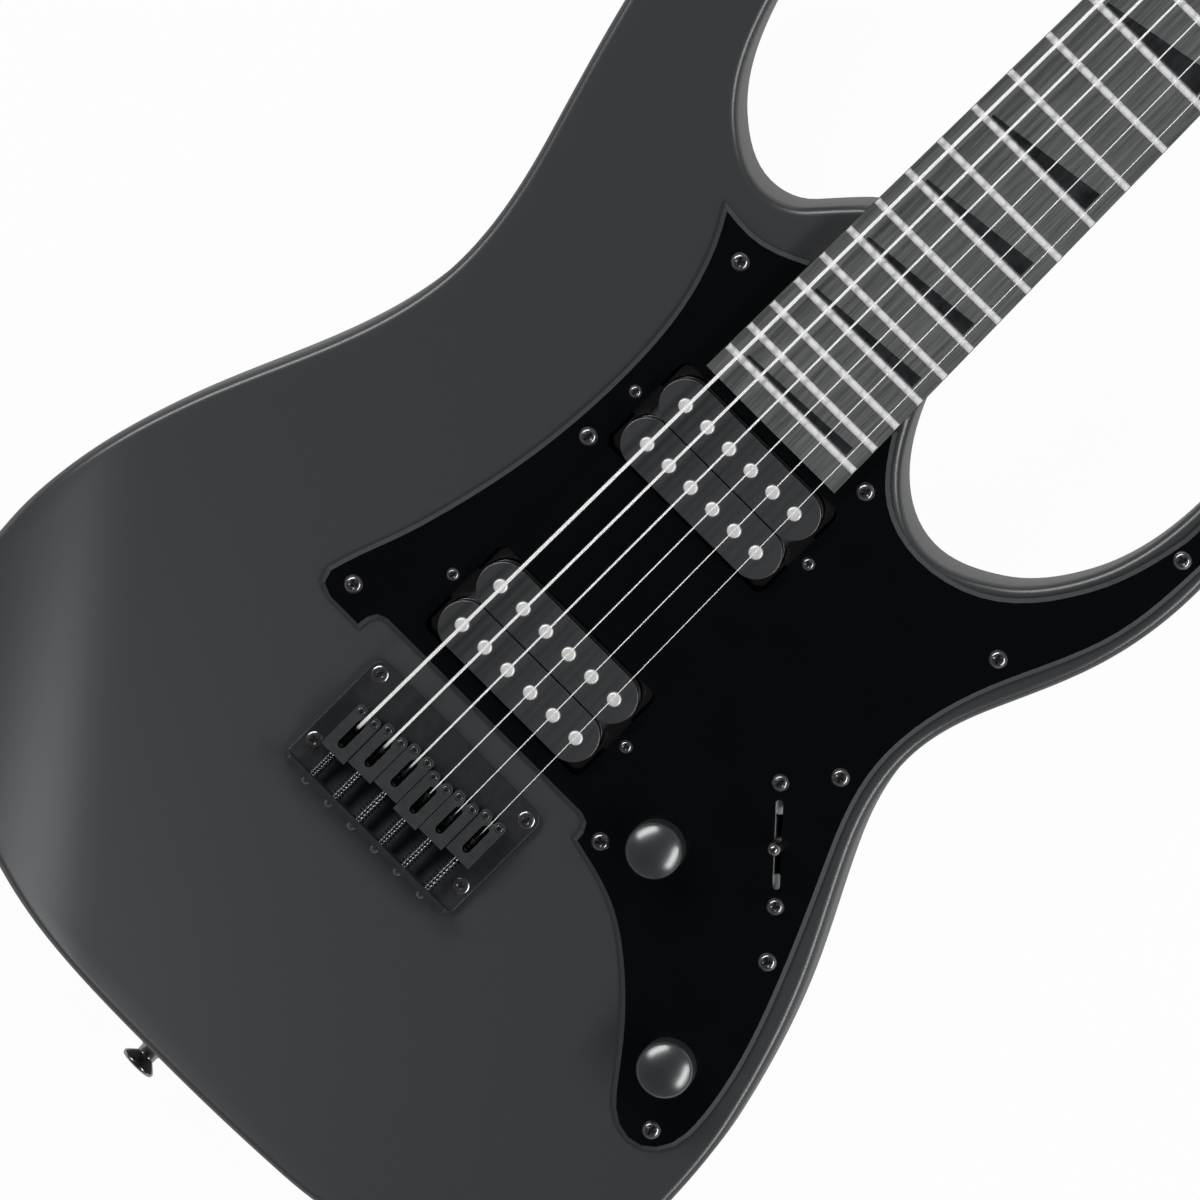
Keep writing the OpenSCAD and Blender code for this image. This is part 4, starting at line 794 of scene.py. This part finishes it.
def string_paths(n, d, over):
    """Paths of a string's tail up to just past its saddle, and of the rest up to its post."""
    hole = STRING_HOLE_X * MM
    tail = [Vector((hole + x * MM, over.y, z * MM)) for x, z in TAIL_RISE]
    tail += [over + Vector((x, 0, z)) * MM for x, z in TAIL_BEND]
    crown = BOARD_R - math.sqrt(BOARD_R ** 2 - nut_place(n) ** 2)
    nut = Vector((SCALE_LENGTH * MM, nut_place(n) * MM, (BOARD_TOP - crown + NUT_RISE) * MM + d / 2))
    meeting = tail[-1].lerp(nut, SPLIT)
    rest = [meeting, nut, nut + PAST_NUT * MM, on_post(n, d, WIND_START, WIND_LEVEL * MM)]
    return tail + [meeting], rest


def make_string(n):
    """A string's tail, the rest with a loop round its post, and the winding that turns with the post."""
    d = STRING_D[n - 1] * MM
    saddle = "saddle_%d" % n
    low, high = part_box(saddle)
    over = Vector((high.x - SADDLE_FRONT * MM, (low.y + high.y) / 2, high.z + d / 2 + SADDLE_PLAY * MM))
    tail_path, rest_path = string_paths(n, d, over)
    level = WIND_LEVEL * MM
    loop = [on_post(n, d, WIND_START + 2 * math.pi * k / LOOP_STEPS, level) for k in range(LOOP_STEPS + 1)]
    drop = d + COIL_GAP * MM
    coil = [on_post(n, d, WIND_START + 2 * math.pi * k / COIL_STEPS,
                    level - COIL_START * d - drop * k / COIL_STEPS)
            for k in range(int(COIL_TURNS * COIL_STEPS))]
    finish = dict(angle=60, slot="bright_steel")
    tail = piece("string_tail_%d" % n, *tube(tail_path, d / 2, STRING_SIDES), "string_steel", None,
                 "strings", **finish)
    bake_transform(tail)
    rest = joined([tube(rest_path, d / 2, STRING_SIDES), tube(loop, d / 2, WINDING_SIDES)])
    made = piece("string_%d" % n, *rest, "string_steel", None, "strings", **finish)
    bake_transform(made)
    piece("string_coil_%d" % n, *tube(coil, d / 2, WINDING_SIDES), "string_steel", "tuner_post_%d" % n,
          "strings", **finish)


def make_spring(n):
    """An intonation spring between the bridge plate's lip and a saddle."""
    low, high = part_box("intonation_screw_%d" % n)
    y, z = (low.y + high.y) / 2, (low.z + high.z) / 2
    wire, r = SPRING_WIRE_R * MM, SPRING_R * MM
    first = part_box("bridge_plate")[0].x + BRIDGE_LIP * MM + wire + SPRING_PLAY[0] * MM
    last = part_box("saddle_%d" % n)[0].x - wire - SPRING_PLAY[1] * MM
    path = []
    for k in range(SPRING_STEPS * SPRING_TURNS + 1):
        turn = 2 * math.pi * k / SPRING_STEPS
        x = first + (last - first) * k / (SPRING_STEPS * SPRING_TURNS)
        path.append(Vector((x, y + r * math.cos(turn), z + r * math.sin(turn))))
    made = piece("intonation_spring_%d" % n, *tube(path, wire, SPRING_SIDES), "spring_steel", None,
                 "intonation_springs", angle=60, slot="bright_steel")
    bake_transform(made)


# Small parts whose edges catch the light: look, slot and width of the rounding in millimetres

SOFT = {
    "bridge_plate": ("black_chrome", "black_chrome", 0.25),
    "pickup_bobbins": ("black_plastic", "black_plastic", 0.3),
    "volume_knob": ("knob_black", "black_chrome", 0.3),
    "tone_knob": ("knob_black", "black_chrome", 0.3),
    "neck_plate": ("black_chrome", "black_chrome", 0.3),
    "jack_plate": ("black_chrome", "black_chrome", 0.2),
    "tuner_housings": ("black_chrome", "black_chrome", 0.4),
    "truss_rod_cover": ("gloss_plastic", "black_plastic", 0.2),
    "pickup_baseplates": ("base_black", "brass", 0.2),
    "nut": ("black_plastic", "black_plastic", 0.15),
    "neck": ("neck_wood", "neck_wood", 0.8),
    "tuner_bushings": ("black_chrome", "black_chrome", 0.2),
    "strap_buttons": ("base_black", "black_chrome", 0.3),
    "selector_tip": ("base_black", "black_plastic", 0.3),
    "string_ferrules": ("black_chrome", "black_chrome", 0.2),
}
SOFT.update({"tuner_post_%d" % n: ("black_chrome", "black_chrome", 0.2) for n in STRINGS})
SADDLE_ROUND = 0.1
BUTTON_ROUND = 0.4
SPRING_ROUND = 0.1
FRAME_ROUND = 0.1
# Pins: the rim's radius and height and the socket's radius as shares of the pin's radius
PIN_RIM = ((0.5, 0), (0.78, 0), (0.9, -0.05), (0.97, -0.15), (1, -0.32))
SOCKET_R = 0.58
SOCKET_DEPTH = 1.3
SOCKET_OVER = 1
# The pickups' height screws are longer than this, and their springs shorter
LONG = 10
# Steel under the ends of the selector's slot: distances from the pivot, radius, low and high
SLOT_END = (11.2, 13.4)
SLOT_END_R = 1.6
SLOT_END_Z = (42.95, 43.95)


def spread(island):
    """Longest side of a solid's box."""
    return spread_of(np.array([v.co for v in island]))


def largest(groups):
    return [max(groups, key=spread)]


def all_but_largest(groups):
    biggest = max(groups, key=spread)
    return [g for g in groups if g is not biggest]


def long_ones(groups):
    return [g for g in groups if spread(g) > LONG * MM]


def short_ones(groups):
    return [g for g in groups if spread(g) <= LONG * MM]


def upright(island):
    """Top centre, radius and length of an upright round solid."""
    points = np.array([v.co for v in island])
    low, high = points.min(0), points.max(0)
    x, y, _ = (low + high) / 2
    return Vector((x, y, high[2])), float(high[0] - low[0]) / 2, float(high[2] - low[2])


def make_pins(node, groups, name, look, slot, socket=False):
    """Upright pins with rounded rims, some with a six-sided socket in the top."""
    pins, sockets = [], []
    for island in groups:
        top, r, length = upright(island)
        pins.append(lathe([(s * r, h * r) for s, h in PIN_RIM] + [(r, -length)], top, UP))
        if socket:
            plan = [(top.x + SOCKET_R * r * math.cos(math.pi * k / 3),
                     top.y + SOCKET_R * r * math.sin(math.pi * k / 3)) for k in range(6)]
            sockets.append(prism(plan, top.z - SOCKET_DEPTH * MM, top.z + SOCKET_OVER * MM))
    mesh = new_mesh(name, *joined(pins))
    place(name, cut(mesh, [joined(sockets)]) if sockets else mesh, look, BODY_OF[node], node, slot=slot)


def make_height_screws(n):
    node = "saddle_%d" % n
    bm = welded(node)
    screws = all_but_largest(islands(bm))
    make_pins(node, screws, "height_screws_%d" % n, "height_screw", "black_chrome", socket=True)
    bm.free()


def make_poles():
    bm = welded("pickup_poles")
    make_pins("pickup_poles", islands(bm), "pickup_poles_look", "pole_steel", "bright_steel")
    bm.free()


def make_small_parts():
    for node, (look, slot, width) in SOFT.items():
        make_soft(node, look, slot, width)
    for n in STRINGS:
        make_soft("saddle_%d" % n, "saddle_black", "black_chrome", SADDLE_ROUND, largest)
        make_height_screws(n)
        make_soft("tuner_button_%d" % n, "black_chrome", "black_chrome", BUTTON_ROUND)


def make_all_screws():
    for node in ("pickguard_screws", "neck_screws"):
        make_screws(node, "screw_black", "black_chrome")
    make_screws("wood_screws", "screw_black", "black_chrome", sunk=0.5)
    make_screws("pickup_height_screws", "screw_black", "black_chrome", long_ones)
    make_soft("pickup_height_screws", "spring_steel", "black_chrome", SPRING_ROUND, short_ones,
              "pickup_height_springs")
    for n in STRINGS:
        make_screws("intonation_screw_%d" % n, "screw_black", "black_chrome")


def make_selector():
    """The selector's frame, its two screws, and the steel that shows at the slot's ends."""
    make_soft("selector_switch", "bright_steel", "switch_board", FRAME_ROUND, largest, "selector_frame")
    make_screws("selector_switch", "screw_black", "black_chrome", all_but_largest, "selector_screws")
    ends = []
    for turn in (SELECTOR_TURN, SELECTOR_TURN + math.pi):
        inner, outer = [SELECTOR_PIVOT + reach * selector_way(turn) for reach in SLOT_END]
        ends.append(slab(slot_points(inner, outer, SLOT_END_R), *SLOT_END_Z))
    piece("selector_slot_ends", *joined(ends), "pole_steel", ROOT, "selector_switch", slot="bright_steel")


# The nodes that stay as they are get their finish

FINISH = {
    "fretboard": "board_wood", "frets": "fret_steel", "position_markers": "marker",
    "truss_rod": "bright_steel", "pickguard": "gloss_plastic", "selector_lever": "bright_steel",
    "control_pots": "bright_steel", "tone_capacitor": "capacitor", "hookup_wires": "wire",
    "output_jack": "bright_steel", "pickup_coils": "coil_tape", "pickup_magnets": "magnet",
}
# How far the faces of the pickguard's bevelled edge look up
BEVEL_UP = (0.2, 0.97)


def finish_nodes():
    for node, look in FINISH.items():
        mesh = NODE[node].data
        mesh.materials.clear()
        mesh.materials.append(LOOKS[look])
    guard = NODE["pickguard"].data
    guard.materials.append(LOOKS["guard_edge"])
    for face in guard.polygons:
        face.material_index = int(BEVEL_UP[0] < face.normal.z < BEVEL_UP[1])


# Stage: lengths in metres, power in watts

FLOOR_HALF = 30
FLOOR_UNDER_BUTT = 0.8 * MM
FLOOR_UNDER_TUNERS = 0.2 * MM
FLOOR_GREY = (0.6, 0.6, 0.6, 1)
FLOOR_ROUGH = 0.9
FLOOR_WHITE = 0.97
SKY_LOW = (0.1, (0.24, 0.24, 0.25, 1))
SKY_HIGH = (0.9, (0.03, 0.03, 0.032, 1))
CLIP_END = 100
BODY_FACE = (0.08, 0, 0.05)


def area_light(name, place_at, target, size, power):
    data = bpy.data.lights.new(name, "AREA")
    data.shape = "RECTANGLE"
    data.size, data.size_y = size
    data.energy = power
    lamp = bpy.data.objects.new(name, data)
    bpy.context.scene.collection.objects.link(lamp)
    lamp.location = place_at
    lamp.rotation_euler = (Vector(target) - Vector(place_at)).to_track_quat("-Z", "Y").to_euler()
    return lamp


def seen_white(tree, shade_socket, output, amount):
    """Mixes plain white over a shader for rays that see the background."""
    light_path = tree.nodes.new("ShaderNodeLightPath")
    first = tree.nodes.new("ShaderNodeMath")
    first.operation = "MAXIMUM"
    second = tree.nodes.new("ShaderNodeMath")
    second.operation = "MAXIMUM"
    scale = tree.nodes.new("ShaderNodeMath")
    scale.operation = "MULTIPLY"
    scale.inputs[1].default_value = amount
    white = tree.nodes.new("ShaderNodeEmission")
    white.inputs["Strength"].default_value = 1.0
    blend = tree.nodes.new("ShaderNodeMixShader")
    link = tree.links.new
    link(light_path.outputs["Is Camera Ray"], first.inputs[0])
    link(light_path.outputs["Is Glossy Ray"], first.inputs[1])
    link(first.outputs[0], second.inputs[0])
    link(light_path.outputs["Is Transmission Ray"], second.inputs[1])
    link(second.outputs[0], scale.inputs[0])
    link(scale.outputs[0], blend.inputs["Fac"])
    link(shade_socket, blend.inputs[1])
    link(white.outputs["Emission"], blend.inputs[2])
    link(blend.outputs["Shader"], output)


def make_floor():
    """A pale plane under the butt and the tuners, on which the guitar lies."""
    butt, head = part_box("body")[0].x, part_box("tuner_housings")[1].x
    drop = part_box("tuner_housings")[0].z - FLOOR_UNDER_TUNERS
    corners = [(-1, -1), (1, -1), (1, 1), (-1, 1)]
    mesh = new_mesh("floor", [(x * FLOOR_HALF, y * FLOOR_HALF, 0) for x, y in corners], [(0, 1, 2, 3)])
    floor = bpy.data.objects.new("floor", mesh)
    bpy.context.scene.collection.objects.link(floor)
    floor.location = (butt, 0, -FLOOR_UNDER_BUTT)
    floor.rotation_euler = (0, math.atan2(-drop, head - butt), 0)
    look = bpy.data.materials.new("pale_floor")
    look.use_nodes = True
    tree = look.node_tree
    shader = tree.nodes["Principled BSDF"]
    shader.inputs["Roughness"].default_value = FLOOR_ROUGH
    shader.inputs["Base Color"].default_value = FLOOR_GREY
    surface = tree.nodes["Material Output"].inputs["Surface"]
    seen_white(tree, shader.outputs["BSDF"], surface, FLOOR_WHITE)
    mesh.materials.append(look)


def make_world():
    """White where the camera sees it; for light it is dim overhead and brighter low down."""
    world = bpy.data.worlds.new("studio")
    bpy.context.scene.world = world
    world.use_nodes = True
    tree = world.node_tree
    background = tree.nodes["Background"]
    coordinates = tree.nodes.new("ShaderNodeTexCoord")
    split = tree.nodes.new("ShaderNodeSeparateXYZ")
    ramp = tree.nodes.new("ShaderNodeValToRGB")
    for stop, (position, shown) in zip(ramp.color_ramp.elements, (SKY_LOW, SKY_HIGH)):
        stop.position = position
        stop.color = shown
    light_path = tree.nodes.new("ShaderNodeLightPath")
    white = tree.nodes.new("ShaderNodeBackground")
    white.inputs["Color"].default_value = (1, 1, 1, 1)
    blend = tree.nodes.new("ShaderNodeMixShader")
    link = tree.links.new
    link(coordinates.outputs["Generated"], split.inputs["Vector"])
    link(split.outputs["Z"], ramp.inputs["Fac"])
    link(ramp.outputs["Color"], background.inputs["Color"])
    link(light_path.outputs["Is Camera Ray"], blend.inputs["Fac"])
    link(background.outputs["Background"], blend.inputs[1])
    link(white.outputs["Background"], blend.inputs[2])
    link(blend.outputs["Shader"], tree.nodes["World Output"].inputs["Surface"])


def make_camera():
    data = bpy.data.cameras.new("camera")
    data.lens = LENS
    data.sensor_width = SENSOR
    data.clip_end = CLIP_END
    camera = bpy.data.objects.new("camera", data)
    bpy.context.scene.collection.objects.link(camera)
    back = Vector((math.sin(CAMERA_TILT), 0, math.cos(CAMERA_TILT)))
    along = Vector((math.cos(CAMERA_TILT), 0, -math.sin(CAMERA_TILT)))
    right = math.cos(PICTURE_TURN) * along - math.sin(PICTURE_TURN) * ACROSS
    up = math.sin(PICTURE_TURN) * along + math.cos(PICTURE_TURN) * ACROSS
    place_at = PHOTO_CENTRE + back * PHOTO_WIDTH * LENS / SENSOR
    turn = Matrix((right, up, back)).transposed().to_4x4()
    camera.matrix_world = Matrix.Translation(place_at) @ turn
    bpy.context.scene.camera = camera


def make_lights():
    """A small lamp for the forearm's sheen, which lights the body alone, and a long one on each side."""
    arm_box = area_light("arm_box", (-0.37, 0.17, 0.49), (-0.12, 0.07, 0.04), (0.3, 0.3), 0.64)
    body_only = bpy.data.collections.new("body_only")
    body_only.objects.link(bpy.data.objects["body_look"])
    arm_box.light_linking.receiver_collection = body_only
    area_light("bass_box", (0.6, 1.4, 1.5), BODY_FACE, (1.8, 0.45), 26)
    area_light("treble_box", (0.5, -1.45, 1.4), BODY_FACE, (1.8, 0.4), 23)


make_body()
make_all_screws()
make_small_parts()
make_poles()
make_selector()
for n in STRINGS:
    make_string(n)
for n in STRINGS:
    make_spring(n)
finish_nodes()
make_floor()
make_world()
make_camera()
make_lights()
bpy.context.scene.view_settings.view_transform = "Standard"
